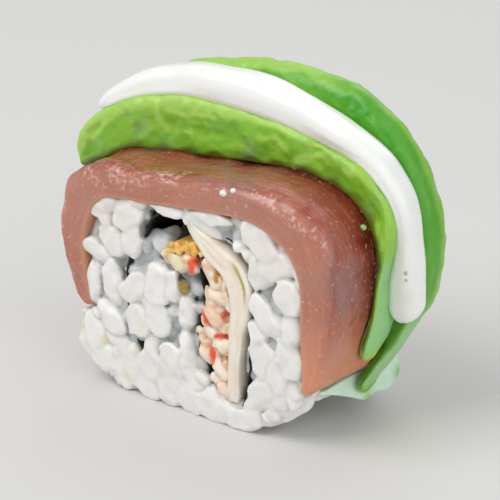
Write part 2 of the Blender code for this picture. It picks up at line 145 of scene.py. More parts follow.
# Grains that show on the front cut: x, z of the middle, length, width, direction in degrees, and how far
# behind the cut the grain starts. A negative start is a grain that the knife sliced flat.
FRONT_GRAINS = [
    (-17.5, 31.5, 4.7, 3.0, 15, 0.3), (-18.2, 29.3, 4.0, 2.3, -35, 0.0), (-12.5, 30.8, 5.4, 4.2, 60, -0.2),
    (-20.5, 26.2, 6.8, 2.5, 40, 1.5), (-15.8, 25.6, 4.6, 3.6, -50, -0.2), (-11.7, 26.4, 4.8, 3.3, 80, -0.2),
    (-19.6, 23.2, 5.6, 2.7, -15, 0.2), (-20.5, 17.0, 6.4, 2.6, 85, 0.1), (-16.1, 18.3, 6.6, 3.1, -85, 0.1),
    (-16.7, 12.0, 5.6, 3.6, -35, 0.1), (-22.0, 9.0, 5.6, 3.0, 72, 1.2), (-20.0, 8.4, 6.0, 4.0, -80, -0.1),
    (-14.2, 7.6, 5.8, 2.9, -28, 0.6), (-17.2, 4.6, 5.0, 4.0, -35, -0.2), (-12.6, 4.2, 4.6, 3.6, -35, -0.1),
    (-8.1, 27.0, 5.5, 2.6, 15, 1.7), (-10.0, 23.7, 5.6, 3.0, 40, 1.6), (-14.3, 20.6, 3.4, 2.2, 30, 2.4),
    (-11.6, 18.6, 5.0, 4.0, 45, -0.3), (-6.5, 20.4, 6.0, 4.3, 75, -0.3), (-3.6, 21.0, 4.4, 2.7, 90, 0.0),
    (-10.6, 13.2, 4.8, 3.6, -60, -0.3), (-6.5, 14.4, 5.0, 4.0, -80, -0.3), (-1.3, 20.8, 5.2, 2.2, 70, 1.3),
    (-1.1, 16.8, 5.6, 2.9, 80, 0.6), (-14.0, 10.4, 3.6, 2.0, -80, 1.5), (-8.3, 9.2, 4.2, 3.0, -80, 0.7),
    (-4.5, 11.0, 4.6, 3.4, -55, 1.4), (-3.9, 7.6, 5.6, 4.2, 85, -0.2), (-0.7, 10.2, 5.6, 2.1, -78, 0.6),
    (2.3, 31.9, 6.4, 3.6, -28, 0.8), (-4.6, 33.6, 5.6, 1.7, -3, 0.2), (4.4, 34.2, 6.6, 1.7, -3, 0.3),
    (6.4, 30.6, 4.6, 3.0, -50, 1.7), (4.6, 29.2, 3.4, 2.4, -20, 2.0), (13.8, 32.6, 7.0, 4.2, -42, -0.2),
    (10.2, 29.8, 3.6, 2.4, -30, 0.5), (17.0, 29.4, 6.0, 3.6, 30, -0.1), (13.6, 26.4, 4.4, 2.8, 35, 0.2),
    (12.8, 28.0, 3.4, 2.4, -70, 0.2), (19.4, 25.0, 5.0, 4.0, -65, -0.3), (14.0, 22.8, 4.0, 3.0, -25, 1.3),
    (15.0, 20.4, 6.6, 3.4, -50, 0.0), (19.6, 19.4, 5.6, 3.1, -85, 0.4), (12.9, 17.4, 4.0, 3.0, -65, 0.1),
    (10.6, 11.2, 5.0, 3.2, -80, 1.5), (14.4, 13.2, 5.2, 4.2, 85, -0.2), (19.4, 14.4, 5.2, 4.2, -80, -0.3),
    (17.2, 10.8, 5.2, 4.2, -70, -0.3), (14.2, 7.4, 6.4, 3.8, 40, -0.1), (18.8, 8.4, 5.0, 3.4, 50, 0.2),
    (19.4, 5.4, 6.4, 3.4, 35, 1.8), (14.6, 3.2, 5.2, 3.4, 20, 1.2), (11.2, 2.2, 5.6, 3.8, 35, 0.1),
    (8.6, 1.8, 4.4, 3.4, -60, -0.1), (4.0, 2.0, 7.0, 3.8, -5, -0.2), (-3.8, 5.2, 5.6, 4.2, -75, -0.2),
    (-0.3, 6.4, 5.9, 3.4, -70, 0.4), (-4.6, 2.4, 5.0, 4.0, -35, -0.2), (-13.8, 2.6, 4.6, 3.4, -45, 0.0),
    (-9.2, 2.0, 5.0, 3.8, -25, -0.2), (-0.4, 1.8, 5.4, 3.8, -30, -0.3), (-8.4, 5.6, 5.0, 3.8, -60, -0.1),
    (-11.4, 33.2, 4.4, 1.8, 5, 0.4), (21.0, 29.0, 4.0, 2.2, -70, 0.6), (7.6, 4.0, 3.6, 2.6, 20, 0.6),
    (-8.8, 16.9, 4.4, 2.8, -20, 0.9),
]
FRONT_SWELL = 1.27                     # how much larger the front grains are than given
FRONT_SHIFT = 0.35                     # how far those at the cut are moved through it
KNIFE_WAVES = 0.16                     # unevenness of the knife's cut
LAYER_TRIES = 9000                     # random places that are tried for a layer of grains
SIDE_TRIES = 5000
CORE_INSET = 1.2                       # how far the rice's core lies inside the frame's solid
# Faint yellow stains on the rice: x, z and how far round them.
RICE_STAINS = [
    (-12.7, 15.5, 0.9), (-17.9, 7.7, 1.0), (-12.8, 2.5, 0.9), (-10.6, 7.6, 0.8), (-23.6, 9.2, 1.6),
    (-20.8, 22.6, 0.9), (-9.4, 12.6, 0.5), (-13.4, 4.9, 0.4),
]
# Painted wet glints on the tuna, smears and dents on the avocado: the two ends and half the width.
TUNA_GLINTS = [
    ((-20.9, 36.5), (-17.0, 35.2), 0.9), ((-15.2, 37.3), (-12.6, 36.6), 1.3),
    ((-9.6, 37.4), (-8.0, 37.9), 1.2), ((-6.4, 38.9), (-3.0, 39.0), 0.7), ((12.3, 40.0), (15.3, 39.5), 0.5),
    ((15.3, 39.5), (18.3, 38.2), 0.7), ((18.3, 38.2), (23.3, 36.6), 0.8), ((23.3, 36.6), (25.4, 34.6), 0.6),
    ((-27.0, 30.0), (-26.6, 26.0), 0.8),
]
AVOCADO_SMEARS = [
    ((-15.0, 45.1), (-14.8, 44.0), 0.49), ((-14.8, 44.0), (-14.5, 42.9), 0.62),
    ((-14.5, 42.9), (-13.7, 42.2), 0.57), ((-9.5, 42.1), (-8.7, 42.0), 0.46),
    ((-8.7, 42.0), (-8.7, 42.7), 0.35), ((-13.1, 44.9), (-7.6, 45.2), 0.43),
    ((-7.6, 45.2), (-3.8, 45.3), 0.35), ((-27.0, 37.6), (-24.9, 41.0), 0.41),
    ((-29.4, 36.4), (-28.4, 38.0), 0.54), ((5.1, 44.4), (8.2, 44.5), 0.57),
    ((8.2, 44.5), (10.3, 43.8), 0.49), ((12.3, 41.4), (14.8, 42.6), 0.54),
    ((13.3, 42.7), (16.8, 43.5), 0.46), ((21.3, 42.3), (24.2, 42.6), 0.57),
    ((27.6, 34.4), (27.9, 31.8), 0.49),
]
AVOCADO_DENTS = [
    ((-26.1, 39.8), (-27.6, 38.6), 0.7), ((-22.2, 43.6), (-20.5, 42.1), 0.8),
    ((-19.6, 40.6), (-18.4, 40.9), 0.9), ((-12.6, 42.3), (-11.8, 42.9), 0.9),
    ((-6.6, 42.8), (-2.0, 42.6), 0.8), ((0.4, 44.6), (2.4, 43.2), 0.9), ((10.4, 42.0), (11.6, 42.6), 0.7),
    ((15.2, 44.4), (16.2, 44.2), 0.6), ((17.8, 41.4), (20.4, 41.0), 0.8), ((26.2, 37.6), (26.8, 36.2), 0.7),
    ((27.1, 30.6), (27.1, 28.0), 0.6),
]
TUNA_CRUMBS = [(7.5, -12.7, 38.9, 1.1), (9.1, -12.4, 39.6, 0.8)]       # x, y, z and size
AVOCADO_CRUMBS = [(26.3, -2.7, 35.1, 0.9)]
OPEN_GAP = (-5.6, 30.9, 3.6, 2.2)      # x, z and half sizes of the hole above the tongue of rice
# Places where the nori shows between the grains: x, z and how far round them.
NORI_GAPS = [
    (-12.3, 23.2, 1.5), (-13.3, 20.6, 1.3), (-11.9, 10.3, 1.2), (-10.6, 8.9, 1.6), (-8.2, 3.8, 0.9),
    (0.7, 13.6, 1.3), (2.0, 20.4, 0.8), (3.4, 8.8, 1.2), (3.4, 4.7, 1.0), (10.2, 29.3, 1.3),
    (12.6, 25.0, 1.0), (11.8, 15.8, 0.9), (12.3, 19.6, 0.7), (10.6, 8.9, 1.2), (9.6, 4.4, 1.0),
]
NORI_CLEAR = 0.4                       # how far the grains keep off the nori there

# Flakes of crab on the front cut, as the grains are given.
CRAB_FLAKES = [
    (4.4, 24.6, 4.6, 2.6, -50, 0.2), (5.5, 21.4, 4.2, 2.3, -22, 0.0), (4.8, 17.7, 4.4, 3.0, -47, 0.1),
    (6.6, 16.2, 3.4, 1.6, -6, 0.4), (3.6, 14.9, 3.2, 2.0, -26, 0.5), (2.9, 11.0, 3.4, 2.2, -50, 0.1),
    (6.6, 13.3, 3.8, 2.4, 8, 0.1), (5.9, 9.2, 4.2, 2.4, -48, 0.1), (5.0, 7.2, 3.4, 2.2, -8, 0.4),
    (7.0, 5.6, 4.4, 2.6, -53, 0.0), (3.0, 21.2, 3.0, 1.4, -52, 0.9), (3.7, 26.3, 3.0, 2.2, -26, 0.4),
    (2.5, 17.6, 3.6, 1.6, -72, 0.3), (2.4, 13.2, 2.6, 1.6, -60, 0.5), (7.4, 20.4, 4.0, 1.8, -70, 0.5),
    (7.4, 10.6, 3.6, 1.8, -80, 0.6), (3.9, 19.6, 2.4, 1.8, 20, 0.6), (-2.4, 25.3, 4.8, 3.0, -8, 0.0),
    (-4.3, 25.6, 3.4, 2.6, -25, 0.2), (-0.4, 26.0, 3.0, 2.2, 10, 0.2), (0.8, 25.3, 2.0, 1.7, 80, -0.3),
]
CRAB_CURL = (1.6, 14.6, 2.2, 1.2, -30, 0.7)
FLAKE_THICKNESS = 2.0
# Streaks on the crab: the two ends and half the width.
RED_STREAKS = [
    ((0.8, 26.0), (0.8, 24.6), 0.80), ((2.5, 18.3), (3.3, 16.7), 0.42), ((6.6, 18.9), (6.6, 18.3), 0.40),
    ((5.2, 14.6), (6.2, 14.7), 0.38), ((4.1, 12.1), (4.7, 10.2), 0.50),
]
AMBER_NOTCHES = [
    ((5.4, 25.6), (5.4, 24.0), 0.42), ((7.3, 23.0), (8.0, 21.8), 0.36), ((7.4, 19.3), (8.0, 18.4), 0.55),
    ((8.5, 16.6), (8.8, 15.9), 0.50), ((6.2, 11.4), (7.9, 11.5), 0.36), ((7.7, 11.5), (7.7, 10.6), 0.30),
]
# The pressed strip beside the crab, as two lines from its tip over the rice to its foot.
STRIP_LEFT = [
    (-0.4, 33.2), (0.7, 31.0), (2.2, 28.7), (4.4, 26.8), (6.8, 25.2), (8.1, 22.4), (8.5, 19.2), (8.2, 16.0),
    (7.9, 12.8), (7.8, 9.4), (7.8, 6.0), (8.2, 4.4),
]
STRIP_RIGHT = [
    (0.5, 33.4), (2.4, 31.7), (4.6, 30.5), (7.6, 29.1), (10.2, 27.9), (11.7, 25.6), (12.0, 22.8),
    (11.6, 19.7), (10.6, 16.0), (10.1, 12.6), (10.0, 9.0), (9.9, 6.0), (9.4, 4.3),
]
STRIP_WIDTH = 3.2                      # its usual width, and its length from tip to foot
STRIP_RUN = 34.0
EGG_CRUMBS = 92                        # the most crumbs of egg at each cut
SESAME_SEED = ((-1.6, 23.6), (-0.5, 20.3), 1.9)   # its dark tip, its round end and its width


def linear(text):
    """A colour given as sRGB hex, as the linear red, green and blue that shaders take."""
    value = np.array([int(text[i:i + 2], 16) for i in (1, 3, 5)]) / 255
    return tuple(np.where(value <= 0.04045, value / 12.92, ((value + 0.055) / 1.055) ** 2.4))


def length(label, text, metres):
    """A length property, given in metres."""
    return FloatProperty(name=label, description=text, default=metres, min=0.0, unit="LENGTH", precision=5)


def colour(label, text, code):
    """A colour property, given as sRGB hex."""
    return FloatVectorProperty(name=label, description=text, default=linear(code), subtype="COLOR", size=3,
                               min=0.0, max=1.0)


class RollSizes(bpy.types.PropertyGroup):
    """Real sizes that a user may change."""
    grain_thickness: length("Grain thickness", "Thickness of a cooked grain", 0.0028)
    grain_length: length("Grain length", "Length of a cooked grain away from the front cut", 0.0061)
    grain_spacing: length("Grain spacing", "Distance between the middles of neighbouring grains", 0.0031)
    rice_detail: length("Rice detail", "Voxel size of the fused grains on the front cut", 0.00022)
    rice_detail_elsewhere: length("Rice detail elsewhere", "Voxel size of the other grains", 0.00032)
    nori_thickness: length("Nori thickness", "Thickness of the sheet of seaweed", 0.00045)
    nori_recess: length("Nori recess", "How far the sheet lies behind the cut", 0.0014)
    tuna_fibre: length("Tuna fibre", "Width of a muscle fibre in the tuna", 0.0007)
    egg_crumb: length("Egg crumb", "Width of a crumb of egg", 0.0013)


class RollColours(bpy.types.PropertyGroup):
    """Colours that a user may change."""
    rice: colour("Rice", "Grains at the surface", "#f6f3f0")
    # Painted shade of the grains in the hollows
    rice_hollow_shade: colour("Deep rice", "Grains in the hollows", "#aeb6bb")
    rice_stain: colour("Stained rice", "Faint yellow stains", "#e6dcae")
    nori: colour("Nori", "Sheet of seaweed", "#0d0f0a")
    tuna: colour("Tuna", "Flesh of the tuna", "#9a4330")
    tuna_pale: colour("Pale tuna", "Fibres and lower parts", "#b8664f")
    tuna_mauve: colour("Mauve tuna", "Greyish mottling", "#93625c")
    # Darker flesh beside the avocado, partly painted shade of the slices
    tuna_dark_and_shaded: colour("Dark tuna", "Along the avocado", "#721d0b")
    tuna_cut: colour("Cut tuna", "Cut face of the slice", "#c98d75")
    tuna_edge: colour("Tuna edge", "Translucent edge along the rice", "#c9956f")
    avocado: colour("Avocado", "Flesh of the front slice", "#86c230")
    avocado_deep: colour("Deep avocado", "Greener flesh of the back slice", "#319a06")
    # Painted highlight along the ridge
    avocado_ridge_highlight: colour("Avocado rim", "Pale rim", "#b2da66")
    # Flesh under the peel, paled partly by painted wet reflection
    avocado_skin_side: colour("Avocado skin side", "Outer side under the peel", "#98d08c")
    # Darker olive-brown line where the slices touch the tuna
    avocado_contact: colour("Avocado contact", "Stained line along the tuna", "#565208")
    flap: colour("Flap", "Thin flap of the outermost flesh", "#d6f0da")
    mayonnaise: colour("Mayonnaise", "Sauce", "#f8faf4")
    crab: colour("Crab", "Flakes of crab", "#fcefe2")
    crab_red: colour("Crab red", "Dyed skin of the crab", "#f2603c")
    crab_amber: colour("Crab amber", "Soaked notches in the crab", "#cf8a35")
    strip: colour("Strip", "Pressed strip of crab", "#faf0e2")
    strip_line: colour("Strip line", "Thin line in the strip", "#b5a653")
    egg: colour("Egg", "Crumbled omelette", "#f0b548")
    egg_pale: colour("Pale egg", "Lighter crumbs", "#f4d990")
    sesame: colour("Sesame", "Hull of the seed", "#a8924a")
    sesame_tip: colour("Sesame tip", "Tip of the seed", "#2c1c10")
    floor: colour("Floor", "Plain studio floor", "#d9d8d5")


class RollStage(bpy.types.PropertyGroup):
    """Camera and light that a user may change."""
    azimuth: FloatProperty(name="Camera azimuth", description="Turn of the camera round the roll",
                           default=math.radians(38.0), subtype="ANGLE")
    elevation: FloatProperty(name="Camera elevation", description="Height of the camera as an angle",
                             default=math.radians(22.0), subtype="ANGLE")
    distance: length("Camera distance", "Distance from the camera to the point it aims at", 0.34)
    aim_x: FloatProperty(name="Aim x", description="Where the camera aims", default=0.00163, unit="LENGTH")
    aim_z: FloatProperty(name="Aim z", description="Height the camera aims at", default=0.02453,
                         unit="LENGTH")
    focal_length: FloatProperty(name="Focal length", description="In millimetres on a 36 mm sensor",
                                default=154.2, min=1.0)
    key: FloatProperty(name="Key light", description="Power in watts", default=3.45, min=0.0)
    fill: FloatProperty(name="Fill light", description="Power in watts", default=2.0, min=0.0)
    back: FloatProperty(name="Back light", description="Power in watts", default=1.5, min=0.0)
    sky: FloatProperty(name="Surrounding light", description="Strength of the pale surroundings",
                       default=0.52, min=0.0)


# ---------------------------------------------------------------------------------------------------------
# Lines and surfaces


def smooth_line(points, count, closed=False):
    """Evenly spaced points on a Catmull-Rom curve through the given ones.

    Between b and c, with neighbours a and d: half of 2b + (c-a)t + (2a-5b+4c-d)t2 + (3b-a-3c+d)t3.
    """
    p = np.array(points, float)
    if closed:
        p = np.vstack([p[-1], p, p[:2]])
    else:
        p = np.vstack([2 * p[0] - p[1], p, 2 * p[-1] - p[-2]])
    a, b, c, d = (p[i:len(p) - 3 + i, None] for i in range(4))
    t = np.linspace(0.0, 1.0, 16, endpoint=False)[None, :, None]
    fine = 0.5 * (2 * b + (c - a) * t + (2 * a - 5 * b + 4 * c - d) * t**2 + (3 * b - a - 3 * c + d) * t**3)
    fine = np.vstack([fine.reshape(-1, p.shape[1]), p[-2]])
    run = np.r_[0.0, np.cumsum(np.linalg.norm(np.diff(fine, axis=0), axis=1))]
    stops = np.linspace(0.0, run[-1], count + 1)[:-1] if closed else np.linspace(0.0, run[-1], count)
    return np.column_stack([np.interp(stops, run, fine[:, k]) for k in range(p.shape[1])])


def offset_line(line, distance):
    """Moves an open line sideways: a positive distance goes to the left of its direction."""
    along = np.gradient(line, axis=0)
    along /= np.linalg.norm(along, axis=1)[:, None]
    return line + distance * np.column_stack([-along[:, 1], along[:, 0]])


def at_share(line, share):
    """Points at the given shares of an evenly spaced line."""
    place = np.linspace(0.0, 1.0, len(line))
    return np.column_stack([np.interp(share, place, line[:, k]) for k in (0, 1)])


def nearest(points, place):
    """The index of the point that lies nearest to a place."""
    return np.argmin(np.linalg.norm(points - place, axis=1))


def step(value, low, high):
    """0 up to low, 1 from high, and 3s2 - 2s3 of the share s between them."""
    share = np.clip((value - low) / (high - low), 0.0, 1.0)
    return share * share * (3 - 2 * share)


def ripples(points, size, seed, waves=18):
    """Smooth unevenness between about -1.5 and 1.5 whose lumps are some size millimetres wide.

    It is the sum of sine waves in random directions, each with a wavelength near twice that size.
    """
    rng = np.random.default_rng(seed)
    heading = rng.normal(size=(waves, points.shape[-1]))
    heading /= np.linalg.norm(heading, axis=1)[:, None]
    heading *= (math.pi / size * rng.uniform(0.6, 1.5, waves))[:, None]
    phase = rng.uniform(0, 2 * math.pi, waves)
    return np.sin(points @ heading.T + phase).sum(-1) / math.sqrt(waves / 2)


def drift(points, size, seed):
    """Ripples in each of the three directions, from three seeds in a row."""
    return np.stack([ripples(points, size, seed + k) for k in range(3)], -1)


def line_distance(points, a, b):
    """Distance of points from the straight piece between a and b."""
    a, b = np.asarray(a, float), np.asarray(b, float)
    share = np.clip(((points - a) @ (b - a)) / ((b - a) @ (b - a)), 0.0, 1.0)
    return np.linalg.norm(points - a - share[..., None] * (b - a), axis=-1)


def spot(points, x, z, wide):
    """How near points are to a place in the plane of the cut: exp of minus (distance / width) squared."""
    return np.exp(-(((points[:, ::2] - (x, z)) / wide) ** 2).sum(1))


def streaks(points, lines, softness):
    """How strongly streaks show at each point: 1 on the line, falling to 0 about half its width away."""
    value = np.zeros(points.shape[:-1])
    for a, b, half in lines:
        away = line_distance(points[..., ::2], a, b)
        value = np.maximum(value, 1.0 - step(away, half * (1 - softness), half * (1 + softness)))
    return value


def edge_distance(points, loop):
    """For (x, z) points: the distance to a closed line, positive inside, and the direction inwards.

    A point is inside where a ray towards +x crosses the line an odd number of times.
    """
    a, b = loop, np.roll(loop, -1, axis=0)
    edge = b - a
    depth = np.empty(len(points))
    inwards = np.empty_like(points)
    for start in range(0, len(points), AT_ONCE):
        some = slice(start, start + AT_ONCE)
        p = points[some, None, :]
        share = np.clip(((p - a) * edge).sum(2) / (edge * edge).sum(1), 0.0, 1.0)
        away = p - a - share[..., None] * edge
        gap = np.linalg.norm(away, axis=2)
        best = gap.argmin(1)
        row = np.arange(len(p))
        above = (a[:, 1] > p[..., 1]) != (b[:, 1] > p[..., 1])
        rise = np.where(edge[:, 1] == 0, 1e-9, edge[:, 1])
        crossing = a[:, 0] + (p[..., 1] - a[:, 1]) / rise * edge[:, 0]
        sign = np.where((above & (p[..., 0] < crossing)).sum(1) % 2 == 1, 1.0, -1.0)
        nearest_gap = gap[row, best]
        depth[some] = sign * nearest_gap
        inwards[some] = sign[:, None] * away[row, best] / np.maximum(nearest_gap, 1e-6)[:, None]
    return depth, inwards


def press_inside(points, loop, margin, give=0.0):
    """Moves (x, y, z) points that lie less than margin inside a closed line towards that depth.

    give is the share of what they lack that they keep.
    """
    depth, inwards = edge_distance(points[:, ::2], loop)
    short = (1 - give) * np.maximum(margin - depth, 0.0)
    points[:, ::2] += short[:, None] * inwards


def press_outside(points, loop, margin):
    """Moves (x, y, z) points that lie inside a closed line, or too near it, out to margin."""
    depth, inwards = edge_distance(points[:, ::2], loop)
    short = np.maximum(depth + margin, 0.0)
    points[:, ::2] -= short[:, None] * inwards


def between_cuts(points):
    """Moves points that lie past a cut, or below the table, to it."""
    points[:, 1] = np.clip(points[:, 1], -CUT, CUT)
    points[:, 2] = np.maximum(points[:, 2], 0.0)


def closed_tube(grid):
    """Points and faces of a tube through the rows of a grid, closed by a fan at each end."""
    rows, cols = grid.shape[:2]
    i = np.arange(rows - 1)[:, None] * cols
    k = np.arange(cols)[None, :]
    m = (k + 1) % cols
    quads = np.stack([i + k, i + m, i + cols + m, i + cols + k], -1).reshape(-1, 4)
    ring = np.arange(cols)
    on = (ring + 1) % cols
    last = (rows - 1) * cols
    start_fan = np.column_stack([np.full(cols, rows * cols), on, ring])
    end_fan = np.column_stack([np.full(cols, rows * cols + 1), last + ring, last + on])
    points = np.vstack([grid.reshape(-1, 3), grid[0].mean(0), grid[-1].mean(0)])
    return points, [quads, np.vstack([start_fan, end_fan])]


def tube_values(values):
    """A value for each point of a closed tube, from a grid of values."""
    return np.concatenate([values.reshape(-1), [values[0].mean(), values[-1].mean()]])


def outward(points, faces):
    """Turns the faces over if the signed volume that they enclose is negative."""
    volume = 0.0
    for group in faces:
        for k in range(1, group.shape[1] - 1):
            a, b, c = points[group[:, 0]], points[group[:, k]], points[group[:, k + 1]]
            volume += (a * np.cross(b, c)).sum()
    return faces if volume > 0 else [group[:, ::-1] for group in faces]


def new_mesh(name, points, faces):
    """A mesh from millimetre points and groups of equal-sided faces, with its faces turned outwards."""
    mesh = bpy.data.meshes.new(name)
    placed = (points - (BOX_MIDDLE, 0.0, 0.0)) * MM
    mesh.from_pydata(placed.tolist(), [], sum((g.tolist() for g in outward(points, faces)), []))
    mesh.shade_smooth()
    return mesh


def mesh_points(mesh):
    """The points of a mesh, in millimetres in the outlines' place."""
    co = np.empty(len(mesh.vertices) * 3)
    mesh.vertices.foreach_get("co", co)
    return co.reshape(-1, 3) / MM + (BOX_MIDDLE, 0.0, 0.0)


def move_points(mesh, points):
    """Puts new places into a mesh."""
    mesh.vertices.foreach_set("co", ((points - (BOX_MIDDLE, 0.0, 0.0)) * MM).ravel())
    mesh.update()


def set_values(mesh, **values):
    """Gives the points of a mesh numbers by name, each the same or one for each, for the materials."""
    for name, value in values.items():
        layer = mesh.attributes.new(name, "FLOAT", "POINT")
        layer.data.foreach_set("value", np.full(len(mesh.vertices), value, np.float32))


def set_uv(mesh, along, across):
    """A UV map in millimetres along and across the piece."""
    corner = np.empty(len(mesh.loops), np.int32)
    mesh.loops.foreach_get("vertex_index", corner)
    layer = mesh.uv_layers.new(name="grain")
    layer.data.foreach_set("uv", np.column_stack([along, across])[corner].astype(np.float32).ravel())


def add_piece(mesh, material, slot, *replaced):
    """Adds a finished mesh to the scene as a piece that rides on the roll."""
    mesh.materials.clear()
    mesh.materials.append(material)
    piece = bpy.data.objects.new(mesh.name, mesh)
    bpy.context.scene.collection.objects.link(piece)
    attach(piece, "root")
    if replaced:
        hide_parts(*replaced)
    return piece


def fused(name, points, faces, detail, soften, keep=1.0):
    """Joins overlapping closed shapes into one skin: a voxel remesh of that detail, then smoothing.

    keep is the share of its triangles that stays after flat stretches are simplified.
    """
    rough = bpy.data.objects.new("rough", new_mesh("rough", points, faces))
    bpy.context.scene.collection.objects.link(rough)
    remesh = rough.modifiers.new("fuse", "REMESH")
    remesh.mode = "VOXEL"
    remesh.voxel_size = detail * MM
    smooth = rough.modifiers.new("soften", "SMOOTH")
    smooth.factor = 0.5
    smooth.iterations = soften
    if keep < 1.0:
        rough.modifiers.new("simplify", "DECIMATE").ratio = keep
    depsgraph = bpy.context.evaluated_depsgraph_get()
    mesh = bpy.data.meshes.new_from_object(rough.evaluated_get(depsgraph), depsgraph=depsgraph)
    mesh.name = name
    mesh.shade_smooth()
    old = rough.data
    bpy.data.objects.remove(rough)
    bpy.data.meshes.remove(old)
    return mesh


def grid_normals(grid):
    """Outward unit normals of a tube: the cross product of its steps along and around."""
    along = np.gradient(grid, axis=0)
    around = np.roll(grid, -1, axis=1) - np.roll(grid, 1, axis=1)
    normal = np.cross(along, around)
    normal /= np.maximum(np.linalg.norm(normal, axis=2), 1e-9)[..., None]
    from_middle = grid - grid.mean(1)[:, None]
    return normal if (normal * from_middle).sum() > 0 else -normal


def section_shape(width, height, radii, count):
    """Even points round a rectangle with rounded corners, from the middle of the lower side.

    radii are those of the two lower and the two upper corners. The points come back as shares of half
    the width and height, with their run in millimetres.
    """
    half_width, half_height = width / 2, height / 2
    corners = []
    for turn, side, level, radius in (
        (-90.0, 1, -1, radii[0]), (0.0, 1, 1, radii[1]), (90.0, -1, 1, radii[1]), (180.0, -1, -1, radii[0]),
    ):
        angle = np.radians(np.linspace(turn, turn + 90.0, 40))
        middle = (side * (half_width - radius), level * (half_height - radius))
        corners.append(middle + radius * np.column_stack([np.cos(angle), np.sin(angle)]))
    ring = np.vstack([[(0.0, -half_height)], *corners, [(0.0, -half_height)]])
    run = np.r_[0.0, np.cumsum(np.linalg.norm(np.diff(ring, axis=0), axis=1))]
    stops = np.linspace(0.0, run[-1], count + 1)[:-1]
    across = np.interp(stops, run, ring[:, 0]) / half_width
    up = np.interp(stops, run, ring[:, 1]) / half_height
    return across, up, stops


def laid_forward(x, z, skews):
    """How far forward a slice lies at (x, z): its two skews, each times the 1.5th power of the way there.

    The first skew is that of the left tip, and the second that of the right foot.
    """
    tip = np.clip((x - SKEW_START) / (SKEW_END - SKEW_START), 0.0, 1.2)
    foot = np.clip((FOOT_START - z) / (FOOT_START - FOOT_END), 0.0, 1.2) * (x > 0)
    return skews[0] * tip**1.5 + skews[1] * foot**1.5


def slice_grid(inner, outer, y_front, y_back, nose, skews, radii, stations, section):
    """A slice laid over the roll: a rounded section carried from one end of the arc to the other.

    inner and outer are evenly spaced lines of (x, z); y_front and y_back are each a number, or a list of
    (share of run, y). Over the last stretch, nose long, the section shrinks as the root of 1 - (1 - d)^2,
    d being the share of the nose passed. Returns the grid and, for each of its points, its run along and
    around, its place across the section (-1 front, 1 back) and up it (-1 inner, 1 outer), and how far it
    lies below the outer side and above the seat.
    """
    middle = (inner + outer) / 2
    total = np.linalg.norm(np.diff(middle, axis=0), axis=1).sum()
    tip = nose / total * (1 - np.cos(np.linspace(0.12, math.pi / 2, 9)))
    share = np.r_[tip, np.linspace(tip[-1], 1 - tip[-1], stations)[1:-1], 1 - tip[::-1]]
    inner, outer = at_share(inner, share), at_share(outer, share)
    from_end = np.clip(np.minimum(share, 1 - share) * total / nose, 0, 1)
    shrink = np.sqrt(np.clip(1 - (1 - from_end) ** 2, 0.0, 1.0))
    y_front, y_back = (
        np.interp(share, *np.transpose(y)) if isinstance(y, list) else y + 0 * share
        for y in (y_front, y_back)
    )
    y_middle = (y_front + y_back) / 2
    y_half = (y_back - y_front) / 2
    thickness = np.linalg.norm(outer - inner, axis=1)
    across, up, around = section_shape(2 * y_half.mean(), thickness.mean(), radii, section)
    depth = 0.5 + 0.5 * shrink[:, None] * up
    x = inner[:, :1] + (outer - inner)[:, :1] * depth
    z = inner[:, 1:] + (outer - inner)[:, 1:] * depth
    y_reach = y_half - np.minimum(nose, y_half) * (1 - shrink)
    y = y_middle[:, None] + y_reach[:, None] * across - laid_forward(x, z, skews)
    spread = np.ones_like(x)
    return np.stack([x, y, z], -1), {
        "along": share[:, None] * total * spread,
        "around": around * spread,
        "across": across * spread,
        "up": up * spread,
        "below_top": (1 - up) / 2 * thickness[:, None],
        "above_seat": (1 + up) / 2 * thickness[:, None],
    }


def tuna_lines():
    """The rice side and the outer side of the tuna."""
    outline = smooth_line(RICE_OUTLINE, 240, closed=True)
    side = outline[nearest(outline, TUNA_LEFT_END):nearest(outline, TUNA_RIGHT_END) + 1]
    return smooth_line(side, 200), smooth_line(TUNA_OUTER, 200)


def slice_inner(overhang, foot, sink):
    """The side of an avocado slice that lies on the tuna, sunk into it by sink."""
    over_tuna = offset_line(tuna_lines()[1], -sink)
    on_right = (over_tuna[:, 0] > 0) & (over_tuna[:, 1] > SEAT_RIGHT)
    seat = over_tuna[(over_tuna[:, 1] > SEAT_LEFT) | on_right][::8]
    return smooth_line(np.vstack([overhang, seat, foot]), 200)


# ---------------------------------------------------------------------------------------------------------
# Grains and flakes


def ball(rings, sides):
    """Unit sphere points, its poles on the x axis, with its faces."""
    tilt = np.linspace(0, math.pi, rings + 2)[1:-1, None]
    turn = np.linspace(0, 2 * math.pi, sides, endpoint=False)[None, :]
    spread = np.ones((rings, sides))
    grid = np.stack([np.cos(tilt) * spread, np.sin(tilt) * np.cos(turn), np.sin(tilt) * np.sin(turn)], -1)
    points, faces = closed_tube(grid)
    points[-2:] = (1, 0, 0), (-1, 0, 0)
    return points, faces


def blobs(middle, along, side, size, bend, shape=(9, 12)):
    """Many bent ellipsoids at once, as points and faces.

    A point is middle + L t a + W (u + bend (t^2 - 0.4)) s + H v (a x s), where (t, u, v) lies on the unit
    sphere, L, W and H are half the length, width and thickness, and the ends are made blunt by
    t = sign(t) |t|^0.85.
    """
    unit, faces = ball(*shape)
    t = np.sign(unit[:, 0]) * np.abs(unit[:, 0]) ** 0.85
    flat = np.cross(along, side)
    points = (
        middle[:, None]
        + (size[:, 0, None] / 2 * t)[..., None] * along[:, None]
        + (size[:, 1, None] / 2 * (unit[:, 1] + bend[:, None] * (t**2 - 0.4)))[..., None] * side[:, None]
        + (size[:, 2, None] / 2 * unit[:, 2])[..., None] * flat[:, None]
    )
    first = np.arange(len(middle))[:, None, None] * len(unit)
    return points.reshape(-1, 3), [(group + first).reshape(-1, group.shape[1]) for group in faces]


